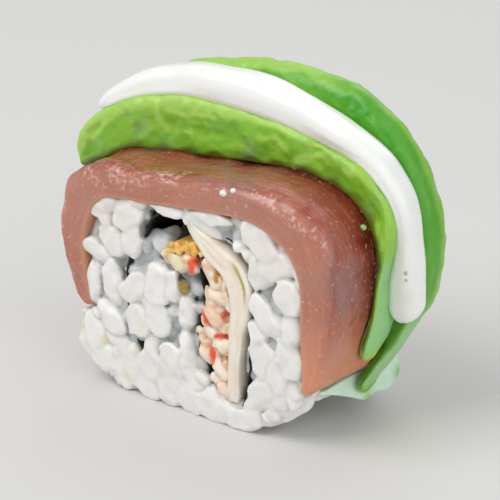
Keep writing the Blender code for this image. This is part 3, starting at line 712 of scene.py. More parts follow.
def laid_on_cut(rows, thickness, seed, back=False, swell=1.0):
    """Blobs laid on a cut face by given rows of x, z, length, width, direction and start.

    Each is as thick as given, or as 0.95 of its width if that is less, and tips and bends at random.
    """
    rng = np.random.default_rng(seed)
    x, z, long, wide, turn, start = np.array(rows, float).T
    long, wide = swell * long, swell * wide
    thick = np.minimum(thickness, wide * 0.95)
    y = -CUT + start + thick / 2
    turn = np.radians(turn)
    tip = rng.normal(0.0, 0.10, len(x))
    along = np.stack([np.cos(turn) * np.cos(tip), np.sin(tip), np.sin(turn) * np.cos(tip)], -1)
    side = np.stack([-np.sin(turn), np.zeros_like(turn), np.cos(turn)], -1)
    middle = np.stack([x, y, z], -1)
    if back:
        middle[:, 1] *= -1
        along[:, 1] *= -1
    bend = rng.uniform(-0.22, 0.22, len(x))
    return middle, along, side, np.stack([long, wide, thick], -1), bend


def spaced(tried, spacing):
    """Keeps each place in turn unless a place kept before lies nearer than the spacing."""
    kept = tried[:1]
    for place in tried[1:]:
        if np.linalg.norm(kept - place, axis=1).min() > spacing:
            kept = np.vstack([kept, place])
    return kept


def strewn(middle, size, normal, flat, seed):
    """Blobs in random directions at the given places.

    flat is the share of a random direction that is taken away along the surface's normal, which lays
    the blobs down in the surface.
    """
    rng = np.random.default_rng(seed)
    along = rng.normal(size=(len(middle), 3))
    along -= flat * (along * normal).sum(1)[:, None] * normal
    along /= np.linalg.norm(along, axis=1)[:, None]
    side = np.cross(along, rng.normal(size=(len(middle), 3)))
    side /= np.linalg.norm(side, axis=1)[:, None]
    uneven = rng.uniform(0.84, 1.14, (len(middle), 3))
    return middle, along, side, np.array(size) * uneven, rng.uniform(-0.25, 0.25, len(middle))


def mirrored(laid):
    """The same blobs laid at the other cut."""
    middle, *rest = laid
    return (middle * (1, -1, 1), *rest)


def joined(*parts):
    """Puts several sets of blobs into one."""
    return tuple(np.concatenate(group) for group in zip(*parts))


def rice_lines():
    """The outline of the rice, and the edge of the hollow that holds nori and filling."""
    nori = smooth_line(NORI_PATH, 120)
    hollow = np.vstack([
        offset_line(nori, -HOLLOW_EDGE),
        [nori[-1] + (0.0, -HOLLOW_EDGE)],
        offset_line(nori, HOLLOW_EDGE)[nearest(nori, TONGUE_START):][::-1],
        TONGUE_TOP,
    ])
    return smooth_line(RICE_OUTLINE, 160, closed=True), hollow


def in_gap(points, room):
    """True for places nearer than room to the open hole above the tongue of rice."""
    x, z, half_x, half_z = OPEN_GAP
    return ((points[:, 0] - x) / (half_x + room)) ** 2 + ((points[:, 2] - z) / (half_z + room)) ** 2 < 1.0


def layer_places(y_low, y_high, spacing, margin, seed, clear_of=None, clearance=0.0):
    """Random places in the rice between two depths, at least margin from its edges.

    They also keep a clearance from the other places given, measured in the plane of the cut. Of the
    LAYER_TRIES places in a box round the rice, those that clash with none before them stay.
    """
    outline, hollow = rice_lines()
    rng = np.random.default_rng(seed)
    tried = rng.uniform((-24.0, y_low, 0.8), (24.0, y_high, 36.0), (LAYER_TRIES, 3))
    keep = edge_distance(tried[:, ::2], outline)[0] > margin
    keep &= edge_distance(tried[:, ::2], hollow)[0] < -margin
    keep &= ~in_gap(tried, 1.2)
    if clear_of is not None:
        gap = np.linalg.norm(tried[:, None, ::2] - clear_of[None, :, ::2], axis=2)
        keep &= gap.min(1) > clearance
    return spaced(tried[keep], spacing)


def nearest_grains(points, grains):
    """For each point, the grain whose skin is nearest, and how much farther off the next grain's skin is.

    A skin is taken as a capsule: the distance from the grain's axis, cut short at both ends, less its
    radius.
    """
    middle, along, _, size, _ = grains
    radius = size[:, 1:].mean(1) / 2
    half = np.maximum(size[:, 0] / 2 - radius, 0.1)
    ends = middle - along * half[:, None]
    grain = np.empty(len(points), int)
    lead = np.empty(len(points))
    for start in range(0, len(points), AT_ONCE):
        some = slice(start, start + AT_ONCE)
        p = points[some, None] - ends[None]
        share = np.clip((p * along).sum(2), 0.0, 2 * half)
        gap = np.linalg.norm(p - share[..., None] * along, axis=2) - radius
        two = np.sort(np.partition(gap, 1, axis=1)[:, :2], axis=1)
        grain[some] = gap.argmin(1)
        lead[some] = two[:, 1] - two[:, 0]
    return grain, lead


def grain_tones(points, grains, seed, gap):
    """The nearest grain of each point, that grain's random tone, and 1 where grains meet, 0 past gap."""
    grain, lead = nearest_grains(points, grains)
    tone = np.random.default_rng(seed).uniform(0.0, 1.0, len(grains[0]))
    return grain, tone[grain], 1 - step(lead, 0.0, gap)


def buried(points):
    """How far points lie behind the nearer cut, or inside the outline of the rice if that is less."""
    inside = edge_distance(points[:, ::2], rice_lines()[0])[0]
    return np.minimum(CUT - np.abs(points[:, 1]), inside)


def fused_grains(name, grains, detail, overhang, seed, keep=1.0):
    """Grains fused into one skin, in the outline of the rice and out of the hollow for the filling.

    The blobs are made irregular by 0.20 times ripples 1.9 mm wide and 0.05 times ripples 0.8 mm wide.
    Points more than 0.3 mm past the outline, or 0.4 mm where it is bare, move in and keep a tenth to a
    quarter of what they stood out. Points in the hollow move out until only the overhang is left, and
    farther where the nori shows. The knife slices the grains flat, KNIFE_WAVES times the height of ripples
    2.4 mm wide behind the cut.
    """
    outline, hollow = rice_lines()
    points, faces = blobs(*grains, shape=(11, 16))
    points += 0.20 * drift(points, 1.9, seed + 1)
    points += 0.05 * drift(points, 0.8, seed + 5)
    bare = np.clip((11.0 - points[:, 2]) / 3.0, 0.0, 1.0)
    press_inside(points, outline, -0.3 - 0.1 * bare, 0.12 + 0.12 * bare)
    margin = -overhang - 0.6 * step(points[:, 0], 8.0, 10.5)
    for gap in NORI_GAPS:
        margin += (NORI_CLEAR - margin) * spot(points, *gap)
    press_outside(points, hollow, margin)
    level = CUT - KNIFE_WAVES * np.abs(ripples(points[:, ::2], 2.4, seed + 4))
    points[:, 1] = np.clip(points[:, 1], -level, level)
    between_cuts(points)
    mesh = fused(name, points, faces, detail, 1, keep)
    points = mesh_points(mesh)
    between_cuts(points)
    move_points(mesh, points)
    stain = np.max([spot(points, *place) for place in RICE_STAINS], axis=0)
    grain, tone, crease = grain_tones(points, grains, seed, 0.9)
    start = buried(grains[0]) - grains[3][:, 2] / 2
    merged = 1 - step(points[:, 2], 3.0, 8.0)
    hollows = np.maximum(step(start, 0.35, 1.6)[grain], step(buried(points), 1.3, 3.2))
    # deep and crease carry painted shade: bluish grey in the hollows and sage grey where grains meet
    set_values(
        mesh,
        tone=tone,
        deep=hollows * (1 - 0.7 * merged),
        crease=crease * (1 - 0.6 * merged),
        stain=stain * (1 - step(points[:, 1], -CUT + 2.0, -CUT + 4.5)),
        near_tuna=step(points[:, 2], 20.0, 34.0) * step(np.abs(points[:, 0]), 6.0, 20.0),
    )
    return mesh


def front_rice(sizes):
    """The grains of the front cut: the listed ones, others between them, and a layer behind both.

    The listed ones are swollen so that they press together, and those at the cut are moved FRONT_SHIFT
    through it, so that the knife slices them.
    """
    spacing = sizes.grain_spacing / MM
    thick = sizes.grain_thickness / MM
    rows = [(*row[:5], row[5] - FRONT_SHIFT * (row[5] < 1.0)) for row in FRONT_GRAINS]
    placed = laid_on_cut(rows, thick, 11, swell=FRONT_SWELL)
    between = layer_places(-CUT + 2.1, -CUT + 2.7, 2.0, 0.3, 15, clear_of=placed[0], clearance=1.7)
    by_table = between[:, 2] < 7.0
    between[by_table, 1] = -CUT + 1.3
    behind = layer_places(-CUT + 3.2, -CUT + 5.0, spacing, 0.6, 12)
    grains = joined(
        placed,
        strewn(between, (4.2, 2.8, 2.4), ROLL_AXIS, 0.8, 16),
        strewn(behind, (sizes.grain_length / MM, 3.0, thick), ROLL_AXIS, 0.8, 13),
    )
    return fused_grains("rice_grains_front", grains, sizes.rice_detail / MM, 1.0, 14, keep=0.64)


def back_rice(sizes):
    """The grains of the back cut: two random layers, the outer one sliced by the knife."""
    spacing = sizes.grain_spacing / MM
    grain = (sizes.grain_length / MM, 3.5, sizes.grain_thickness / MM)
    outer = layer_places(CUT - 1.4, CUT - 0.9, spacing * 0.93, 0.7, 21)
    inner = layer_places(CUT - 3.6, CUT - 2.2, spacing * 0.95, 0.6, 22)
    grains = joined(strewn(outer, grain, ROLL_AXIS, 0.9, 23), strewn(inner, grain, ROLL_AXIS, 0.8, 24))
    return fused_grains("rice_grains_back", grains, sizes.rice_detail_elsewhere / MM, 0.4, 25)


def side_rice(sizes):
    """The grains of the bare sides and underside, each lying in the surface.

    Their middles are 1.4 mm inside the outline, from the left end of the tuna round to its right end.
    """
    outline, _ = rice_lines()
    rng = np.random.default_rng(31)
    bare = np.roll(outline, -nearest(outline, TUNA_RIGHT_END), axis=0)
    bare = smooth_line(bare[:nearest(bare, TUNA_LEFT_END) + 1], 300)
    inset = offset_line(bare, -1.4)
    pick = rng.integers(0, len(bare), SIDE_TRIES)
    y = rng.uniform(-CUT + 2.2, CUT - 2.2, SIDE_TRIES)
    tried = np.column_stack([inset[pick, 0], y, inset[pick, 1]])
    tried[:, 2] = np.maximum(tried[:, 2], 1.2)
    middle = spaced(tried, 0.93 * sizes.grain_spacing / MM)
    inwards = edge_distance(middle[:, ::2], outline)[1]
    normal = np.column_stack([inwards[:, 0], np.zeros(len(middle)), inwards[:, 1]])
    grain = (sizes.grain_length / MM, 3.4, sizes.grain_thickness / MM)
    grains = strewn(middle, grain, normal, 0.9, 32)
    return fused_grains("rice_grains_side", grains, sizes.rice_detail_elsewhere / MM, 0.0, 33)


def rice_core():
    """The rice inside the grains: the frame's own solid, drawn in and made lumpy.

    Each point moves along its normal by 0.45 times ripples 2.2 mm wide, less CORE_INSET.
    """
    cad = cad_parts["rice"].data
    cad.calc_loop_triangles()
    corner = np.empty(len(cad.loop_triangles) * 3, np.int32)
    cad.loop_triangles.foreach_get("vertices", corner)
    points = mesh_points(cad)
    points[:, 1] *= (CUT - 2 * CORE_INSET) / CUT
    mesh = fused("rice_core", points, [corner.reshape(-1, 3)], 0.5, 6)
    points = mesh_points(mesh)
    normal = np.empty(len(points) * 3)
    mesh.vertex_normals.foreach_get("vector", normal)
    points += normal.reshape(-1, 3) * (0.45 * ripples(points, 2.2, 41) - CORE_INSET)[:, None]
    points[:, 2] = np.maximum(points[:, 2], CORE_INSET / 2)
    move_points(mesh, points)
    # The core is coloured in the painted bluish shade of the hollows
    set_values(mesh, tone=0.5, deep=1.0, crease=0.5)
    return mesh


# ---------------------------------------------------------------------------------------------------------
# Nori and filling


def nori_sheet(sizes):
    """The sheet of seaweed, wound round the filling, a little behind the cut and slightly wavy.

    A point is the path plus its normal times (half the thickness, either way, plus waves 3 mm wide);
    the front and back edges waver by 0.3 mm.
    """
    path = smooth_line(NORI_PATH, 280)
    normal = offset_line(path, 1.0) - path
    run = np.linspace(0.0, 1.0, len(path)) * np.linalg.norm(np.diff(path, axis=0), axis=1).sum()
    one_side = np.sin(np.linspace(-math.pi / 2, math.pi / 2, 34))
    along, across = np.meshgrid(run, np.r_[one_side, one_side[::-1]], indexing="ij")
    edge = 0.3 * ripples(np.stack([along, 20 * np.sign(across)], -1), 2.0, 51)
    y = across * (CUT - sizes.nori_recess / MM + edge)
    rounded = np.sqrt(np.clip(1.02 - np.abs(across) ** 40, 0.0, 1.0))
    either_way = np.repeat([-1.0, 1.0], len(one_side))
    wave = 0.10 * ripples(np.stack([along, y], -1), 3.0, 52)
    out = wave + either_way * rounded * sizes.nori_thickness / MM / 2
    x = path[:, :1] + normal[:, :1] * out
    z = path[:, 1:] + normal[:, 1:] * out
    return new_mesh("nori_sheet", *closed_tube(np.stack([x, y, z], -1)))


def prism(ring, reach, rows):
    """A closed line of (x, z) drawn straight through, from y = -reach to reach, as points and faces."""
    y = np.linspace(-reach, reach, rows)[:, None] * np.ones(len(ring))
    return closed_tube(np.stack([ring[:, 0] + 0 * y, y, ring[:, 1] + 0 * y], -1))


def combined(*shapes):
    """Puts several (points, faces) shapes into one."""
    points, faces, count = [], [], 0
    for shape_points, shape_faces in shapes:
        points.append(shape_points)
        faces += [group + count for group in shape_faces]
        count += len(shape_points)
    return np.vstack(points), faces


def crab_shreds():
    """Shredded crab: a core that runs through, with flakes laid over it at both cuts.

    The flakes are made irregular by 0.16 times ripples 1.1 mm wide. Amber notches are pressed 0.4 mm back
    from the front cut, and red streaks 0.1 mm.
    """
    front = laid_on_cut(CRAB_FLAKES + [CRAB_CURL], FLAKE_THICKNESS, 61)
    back = laid_on_cut([row for row in CRAB_FLAKES if row[0] > 0], FLAKE_THICKNESS, 62, back=True)
    ring = smooth_line(CRAB_OUTLINE, 120, closed=True)
    fill = np.random.default_rng(63).uniform((2.0, 1.6, 5.0), (9.0, 2.8, 28.0), (900, 3))
    fill = spaced(fill[edge_distance(fill[:, ::2], ring)[0] > 0.5], 1.5)
    fill[:, 1] -= CUT
    small = strewn(fill, (3.0, 1.7, 1.5), ROLL_AXIS, 0.6, 64)
    flakes = joined(front, back, small, mirrored(small))
    lumps, faces = blobs(*flakes, shape=(8, 10))
    on_crab = lumps[:, 0] > 1.4
    pressed = lumps[on_crab]
    press_inside(pressed, ring, -0.8)
    lumps[on_crab] = pressed
    lumps += 0.16 * drift(lumps, 1.1, 65)
    between_cuts(lumps)
    core = prism(smooth_line(CRAB_OUTLINE, 90, closed=True), CUT - 2.2, 30)
    mesh = fused("crab_shreds", *combined(core, (lumps, faces)), 0.24, 1)
    points = mesh_points(mesh)
    between_cuts(points)
    at_front = points[:, 1] < -CUT + 3.0
    red = streaks(points, RED_STREAKS, 0.5) * at_front
    amber = streaks(points, AMBER_NOTCHES, 0.5) * at_front
    points[:, 1] += 0.4 * amber + 0.1 * red
    fibre = np.column_stack([points[:, 0] * 2.2 + points[:, 2] * 1.3, points[:, 1], points[:, 2] * 0.5])
    _, tone, crease = grain_tones(points, flakes, 69, 0.6)
    points += 0.05 * ripples(fibre, 0.8, 68)[:, None]
    move_points(mesh, points)
    cream = 1 - step(points[:, 0], 0.2, 1.6)
    set_values(mesh, red=red, amber=amber, tone=tone, crease=crease, cream=cream)
    return mesh


def crab_strip():
    """The pressed strip between its two lines, ridged lengthwise where it was cut.

    The ridges are 0.07 mm ripples that are 0.45 mm wide across the strip and 6 mm long along it.
    """
    left, right = smooth_line(STRIP_LEFT, 120), smooth_line(STRIP_RIGHT, 120)
    mesh = fused("crab_strip", *prism(np.vstack([left, right[::-1]]), CUT - 0.15, 44), 0.24, 2)
    points = mesh_points(mesh)
    flat = points[:, ::2]
    middle = (left + right) / 2
    place = np.linalg.norm(flat[:, None] - middle[None], axis=2).argmin(1)
    span = right[place] - left[place]
    share = ((flat - left[place]) * span).sum(1) / np.maximum((span * span).sum(1), 0.1)
    run = place / len(middle) * STRIP_RUN
    at_cut = step(np.abs(points[:, 1]), CUT - 1.0, CUT - 0.4)
    ridge = ripples(np.column_stack([share * STRIP_WIDTH / 0.45, run / 6.0]), 1.0, 71)
    points[:, 1] -= np.sign(points[:, 1]) * at_cut * (0.12 + 0.07 * ridge)
    points[:, ::2] += 0.10 * ripples(np.column_stack([run, points[:, 1]]), 3.0, 72)[:, None]
    between_cuts(points)
    move_points(mesh, points)
    on_bend = step(points[:, 2], 20.0, 24.5) * (1 - step(points[:, 2], 27.0, 28.6))
    line = (1 - step(np.abs(share - 0.74), 0.03, 0.10)) * on_bend * at_cut
    set_values(mesh, line=line, tone=0.5 + 0.3 * ridge * at_cut)
    return mesh


def egg_crumbs(sizes):
    """Crumbled omelette: a core that runs through, with small crumbs over it at both cuts.

    The crumbs keep 0.62 of their width apart, and are made irregular by 0.12 times ripples 0.7 mm wide.
    """
    ring = smooth_line(EGG_OUTLINE, 80, closed=True)
    crumb = sizes.egg_crumb / MM
    tried = np.random.default_rng(81).uniform((-5.2, 0.4, 25.8), (2.8, 1.6, 29.6), (4000, 3))
    tried = spaced(tried[edge_distance(tried[:, ::2], ring)[0] > 0.15], crumb * 0.62)[:EGG_CRUMBS]
    tried[:, 1] -= CUT
    front = strewn(tried, (crumb, crumb * 0.85, crumb * 0.8), ROLL_AXIS, 0.2, 82)
    crumbs_laid = joined(front, mirrored(front))
    lumps, faces = blobs(*crumbs_laid, shape=(6, 8))
    lumps += 0.12 * drift(lumps, 0.7, 83)
    between_cuts(lumps)
    core = prism(smooth_line(EGG_OUTLINE, 60, closed=True), CUT - 1.7, 24)
    mesh = fused("egg_crumbs", *combined(core, (lumps, faces)), 0.2, 1)
    _, tone, crease = grain_tones(mesh_points(mesh), crumbs_laid, 86, 0.4)
    set_values(mesh, tone=tone, crease=crease)
    return mesh


def sesame_seed():
    """One seed on the rice: an egg shape, flattened, that narrows towards its tip.

    Its half width at share t of the length is w (1 - t^2)^0.5 (1 - 0.38 t), t running from -1 to 1.
    """
    tip, end, wide = SESAME_SEED
    reach = np.subtract(tip, end) / 2
    side = np.array([-reach[1], reach[0]]) / np.linalg.norm(reach)
    unit, faces = ball(22, 28)
    taper = 1 - 0.38 * unit[:, 0]
    flat = np.add(tip, end) / 2 + np.outer(unit[:, 0], reach) + np.outer(unit[:, 1] * taper * wide / 2, side)
    y = -CUT + 0.35 + unit[:, 2] * taper * 0.5
    points = np.column_stack([flat[:, 0], y, flat[:, 1]])
    points += 0.02 * ripples(points, 0.4, 91)[:, None]
    mesh = new_mesh("sesame_seed", points, faces)
    set_values(mesh, tip=step(unit[:, 0], 0.15, 0.6))
    return mesh


# ---------------------------------------------------------------------------------------------------------
# Tuna, avocado and sauce


def slice_mesh(name, grid, values, **numbers):
    """A mesh of a slice's grid, with a UV map in millimetres along the arc and round the section."""
    mesh = new_mesh(name, *closed_tube(grid))
    set_uv(mesh, tube_values(values["along"]), tube_values(values["around"]))
    set_values(mesh, **{key: tube_values(number) for key, number in numbers.items()})
    return mesh


def raised(grid, amount):
    """Moves each point of a tube along its normal by an amount."""
    return grid + grid_normals(grid) * amount[..., None]


def tuna_slice(sizes):
    """The slice of raw tuna over the rice, with uneven swells and fine muscle fibres.

    Each point rises along its normal by 0.26 times ripples 9 mm wide, 0.12 times ripples 3.5 mm wide,
    which grow to 0.22 at the left, and 0.035 times ripples 1.4 mm wide, and by fibres 0.018 mm high that
    run along the arc, slightly aslant.
    """
    side, outer = tuna_lines()
    inner = offset_line(side, -0.12)
    grid, values = slice_grid(inner, outer, -CUT, CUT, 1.6, (0.0, 0.0), (0.5, 2.4), 280, 200)
    bumpy = 0.12 + 0.10 * (1 - step(grid[..., 0], -20.0, -8.0))
    swell = 0.26 * ripples(grid, 9.0, 101) + bumpy * ripples(grid, 3.5, 102) + 0.035 * ripples(grid, 1.4, 104)
    aslant = np.stack([
        values["along"] / 7.0 + values["around"] * 0.05,
        (values["around"] + 0.16 * values["along"]) / (sizes.tuna_fibre / MM),
    ], -1)
    fibre = 0.018 * ripples(aslant, 1.0, 103, waves=30)
    uneven = 0.5 * ripples(grid, 3.0, 105)
    grid = raised(grid, (swell + fibre) * step(values["up"], -0.8, 0.0))
    grid[..., 1] = np.clip(grid[..., 1], -CUT, CUT)
    x, y, z = np.moveaxis(grid, -1, 0)
    forward = laid_forward(x, z, SLICE_SKEWS)
    beside = np.maximum(AVOCADO_FRONT_FACE - forward - y, y - AVOCADO_BACK_FACE + forward) + uneven
    right = step(x, 4.0, 20.0)
    covered = np.maximum(x > 0, step(z, 29.0, 35.0))
    # near_avocado and touching carry painted shade from the avocado slices, and wet carries painted glints
    return slice_mesh(
        "tuna_slice", grid, values,
        cut=step(np.abs(grid_normals(grid)[..., 1]), 0.25, 1.0),
        near_avocado=(1 - step(beside, -0.5, 4.6 + 3.4 * right)) * covered * (0.7 + 0.3 * right),
        touching=(1 - step(beside, -0.6, 1.3 + 1.6 * right)) * covered,
        low=right * (1 - step(z, 9.0, 26.0)),
        by_rice=1 - step(values["up"], -0.95, -0.6),
        wet=streaks(grid, TUNA_GLINTS, 0.8) * (1 - step(y, -10.5, -8.0)),
    )


def crumbs(name, places, mesh):
    """Tiny crumbs that stick to a slice: small lumps, each laid on the slice's nearest point."""
    points = mesh_points(mesh)
    shapes = []
    for number, (x, y, z, size) in enumerate(places):
        lump, faces = ball(8, 12)
        ground = points[nearest(points, (x, y, z))]
        lump = ground + lump * size / 2 * (1 + 0.18 * ripples(lump, 1.2, 130 + number)[:, None])
        shapes.append((lump, faces))
    mesh = new_mesh(name, *combined(*shapes))
    # Only the avocado's material reads this: its crumb is of the flesh that lay under the peel, in its mint
    # that is partly painted wet reflection
    set_values(mesh, skin_side=0.8)
    return mesh


def avocado_slice(name, lines, faces, edge, seed, mint_top, rim_strength, fold_strength):
    """A slice of avocado over the tuna: buttery, with dents, smears and the roughness of handling.

    lines are its overhang, foot and outer line, and faces are the y of its front and back. Each point
    rises along its normal by ripples: 0.14 times those 5 mm wide, 0.06 times 2 mm and 0.03 times 0.9 mm.
    Dents are 0.24 mm deep and smears 0.12 mm high. Below the height mint_top the outer side shows the
    pale flesh that lay under the peel, paled partly by painted wet reflection, and the other sides take
    painted shade by the strength of the fold.
    """
    overhang, foot, outer_points = lines
    inner = slice_inner(overhang, foot, 0.25)
    outer = smooth_line(outer_points, 200)
    grid, values = slice_grid(inner, outer, *faces, 4.0, SLICE_SKEWS, (0.4, edge), 300, 150)
    swell = 0.14 * ripples(grid, 5.0, seed) + 0.06 * ripples(grid, 2.0, seed + 1)
    swell += 0.03 * ripples(grid, 0.9, seed + 2)
    facing = step(-grid_normals(grid)[..., 1], 0.4, 0.9)
    wavy = grid + 0.25 * drift(grid, 2.2, seed + 3)
    dents = streaks(wavy, AVOCADO_DENTS, 0.9) * facing
    smears = streaks(wavy, AVOCADO_SMEARS, 0.9) * facing
    band_waves = 0.3 * ripples(grid, 4.0, seed + 6)
    seat_waves = 0.25 * ripples(grid, 2.0, seed + 7)
    up = values["up"]
    grid = raised(grid, swell * step(up, -0.95, -0.5) - 0.24 * dents + 0.12 * smears)
    x, _, z = np.moveaxis(grid, -1, 0)
    right = step(x, 6.0, 20.0)
    low = right * (1 - step(z, mint_top - 3.0, mint_top + 3.0))
    off_toe = 1 - right * (1 - step(z - foot[-1][1], 0.6, 2.4))
    outer_side = step(up, 0.5, 0.9)
    front_half = 1 - step(values["across"], -0.15, 0.25)
    # The rim is a painted highlight along the top edge and at the left tip
    band = 1.1 + 1.3 * (1 - step(x, -6.0, 8.0)) + band_waves
    top_edge = (1 - step(values["below_top"], 0.5 * band, 1.2 * band)) * (1 - 0.4 * right)
    rim = np.maximum(top_edge, 0.3 * (1 - step(x, -31.0, -28.0)))
    touching = 1 - step(values["above_seat"] + seat_waves, 0.3, 1.5 + right)
    return slice_mesh(
        name, grid, values,
        rim=rim * np.minimum(rim_strength + 0.5 * (1 - right), 1.0),
        contact=touching * step(z, 12.0, 16.0) * (1 - step(up, 0.0, 0.5)),
        skin_side=outer_side * (1 - facing) * low * off_toe,
        smear=smears,
        # face darkens the back slice where it looks forward and at its foot, partly painted shade
        face=(0.35 + 0.65 * right) * np.maximum(front_half, low * (1 - outer_side)),
        fold=fold_strength * low * off_toe * (1 - outer_side) * (values["across"] < 0.6),
    )


def mayonnaise_band():
    """The line that the sauce lies on, 0.3 mm over the ridge of the front slice."""
    ridge = smooth_line(FRONT_SLICE_OUTER, 200)
    on_ridge = (ridge[:, 0] > MAYONNAISE_LEFT) & ((ridge[:, 1] > MAYONNAISE_END_Z) | (ridge[:, 0] < 0))
    return smooth_line(offset_line(ridge, 0.3)[on_ridge][::5], 200)


def mayonnaise_line():
    """The piped line of sauce: very smooth, with slow swells 7 mm wide and 0.18 mm high."""
    band = mayonnaise_band()
    height = np.interp(np.linspace(0.0, 1.0, len(band)), *np.transpose(MAYONNAISE_HEIGHTS))
    outer = offset_line(band, height[:, None])
    inner = offset_line(band, -0.8)
    grid, values = slice_grid(
        inner, outer, MAYONNAISE_FRONT, MAYONNAISE_BACK, 4.0, SLICE_SKEWS, (1.2, 2.4), 260, 140)
    grid = raised(grid, 0.18 * ripples(grid, 7.0, 121) * step(values["up"], -0.8, 0.0))
    mesh = slice_mesh("mayonnaise_line", grid, values)
    points = mesh_points(mesh)
    speck = np.zeros(len(points))
    for *place, half in MAYONNAISE_SPECKS:
        away = np.linalg.norm(points - points[nearest(points, place)], axis=1)
        speck = np.maximum(speck, 1 - step(away, 0.6 * half, 1.2 * half))
    set_values(mesh, speck=speck)
    return mesh


def avocado_sliver():
    """The thin flap of avocado at the right foot of the slices.

    At each y it is a rounded strip that hangs from the top line to the height of its lower edge.
    """
    lower = smooth_line(SLIVER_LOWER_EDGE, 120)
    y = lower[:, 0]
    drop = (SLIVER_TOP[1] - lower[:, 1]) / (SLIVER_TOP[1] - SLIVER_BOTTOM[1])
    down = np.subtract(SLIVER_BOTTOM, SLIVER_TOP)
    across = np.array([-down[1], down[0]]) / np.linalg.norm(down)
    run, thick, _ = section_shape(np.linalg.norm(down), 1.0, (0.49, 0.49), 60)
    end = np.minimum(y - y[0], y[-1] - y)
    thin = np.sqrt(np.clip(1 - (1 - np.clip(end / 0.8, 0, 1)) ** 2, 0.05, 1.0))
    along_down = (run + 1) / 2 * drop[:, None]
    out = thick * 0.5 * thin[:, None] + (0.15 * np.sin(0.9 * y + 0.6))[:, None] * along_down
    grid = np.stack([
        SLIVER_TOP[0] + down[0] * along_down + across[0] * out,
        y[:, None] + 0 * out,
        SLIVER_TOP[1] + down[1] * along_down + across[1] * out,
    ], -1)
    points, faces = closed_tube(grid)
    mesh = new_mesh("avocado_sliver", points, faces)
    green = [np.exp(-((points[:, 1:] - corner) ** 2).sum(1) / 2.2) for corner in SLIVER_GREEN_CORNERS]
    set_values(mesh, green=np.max(green, axis=0))
    return mesh


# ---------------------------------------------------------------------------------------------------------
# Materials


def add_node(tree, kind, inputs=None, **settings):
    """Adds a node with its settings.

    Each input takes a value, the node or socket that it is linked from, or the name of a number that the
    mesh's points hold, which reads as 0 on a mesh without it.
    """
    node = tree.nodes.new(kind)
    for name, value in settings.items():
        setattr(node, name, value)
    for name, value in (inputs or {}).items():
        socket = node.inputs[name]
        if isinstance(value, str):
            value = add_node(tree, "ShaderNodeAttribute", attribute_name=value).outputs["Fac"]
        if isinstance(value, bpy.types.Node):
            value = value.outputs[0]
        if isinstance(value, bpy.types.NodeSocket):
            tree.links.new(value, socket)
        else:
            socket.default_value = (*value, 1.0) if socket.type == "RGBA" else value
    return node


def coloured(tree, base, *coats):
    """Lays coats of colour over a base, one after another.

    Each coat gives what it is read from, the values there at which it starts and is full (0 and 1 where
    they are left out), how strong it is when full, and its colour.
    """
    for source, *ends, strength, paint in coats:
        start, full = ends or (0.0, 1.0)
        share = add_node(tree, "ShaderNodeMapRange",
                         {"Value": source, "From Min": start, "From Max": full, "To Max": strength})
        base = add_node(tree, "ShaderNodeMixRGB", {"Fac": share, "Color1": base, "Color2": paint})
    return base


def new_material(name, look, colours):
    """A material from the function that works out its shader's inputs."""
    material = bpy.data.materials.new(name)
    material.use_nodes = True
    tree = material.node_tree
    tree.nodes.clear()
    shader = add_node(tree, "ShaderNodeBsdfPrincipled", look(tree, colours))
    add_node(tree, "ShaderNodeOutputMaterial", {"Surface": shader})
    return material


def cooked_rice(tree, colours):
    """Cooked rice: white, moist and slightly translucent, with painted shade in the hollows and creases."""
    place = add_node(tree, "ShaderNodeTexCoord").outputs["Object"]
    chalk = add_node(tree, "ShaderNodeTexNoise", {"Vector": place, "Scale": 700.0, "Detail": 2.0})
    base = coloured(
        tree, colours.rice,
        ("deep", 0.85, colours.rice_hollow_shade),                  # painted shade: bluish grey in the hollows
        ("tone", 0.20, linear("#cfd0c9")),                  # some grains are duller than others
        (chalk, 0.4, 0.7, 0.14, linear("#d9d3cb")),         # chalky clouds inside the grains
        ("crease", 0.22, linear("#a3a99f")),                # painted shade: sage grey where grains meet
        ("near_tuna", 0.16, linear("#c99a8e")),             # pink juice near the tuna
        ("stain", 0.6, colours.rice_stain),                 # faint yellow stains
    )
    # Fine starchy unevenness that breaks the highlights up
    starch = add_node(tree, "ShaderNodeTexNoise", {"Vector": place, "Scale": 1800.0, "Detail": 2.0})
    bump = add_node(tree, "ShaderNodeBump", {"Height": starch, "Strength": 0.25, "Distance": 0.00012})
    return {
        "Base Color": base, "Normal": bump, "Roughness": 0.36, "Specular IOR Level": 0.45,
        "Subsurface Weight": 0.6, "Subsurface Radius": (1.3, 1.15, 1.0), "Subsurface Scale": MM,
    }


def wet_nori(tree, colours):
    """Wet nori: almost black, with a dull shine and a little green through its thinner spots."""
    place = add_node(tree, "ShaderNodeTexCoord").outputs["Object"]
    weave = add_node(tree, "ShaderNodeTexNoise", {"Vector": place, "Scale": 900.0, "Detail": 4.0})
    base = coloured(tree, colours.nori, (weave, 0.45, 0.7, 1.0, linear("#1c2415")))
    bump = add_node(tree, "ShaderNodeBump", {"Height": weave, "Strength": 0.5, "Distance": 0.0002})
    return {"Base Color": base, "Normal": bump, "Roughness": 0.45}


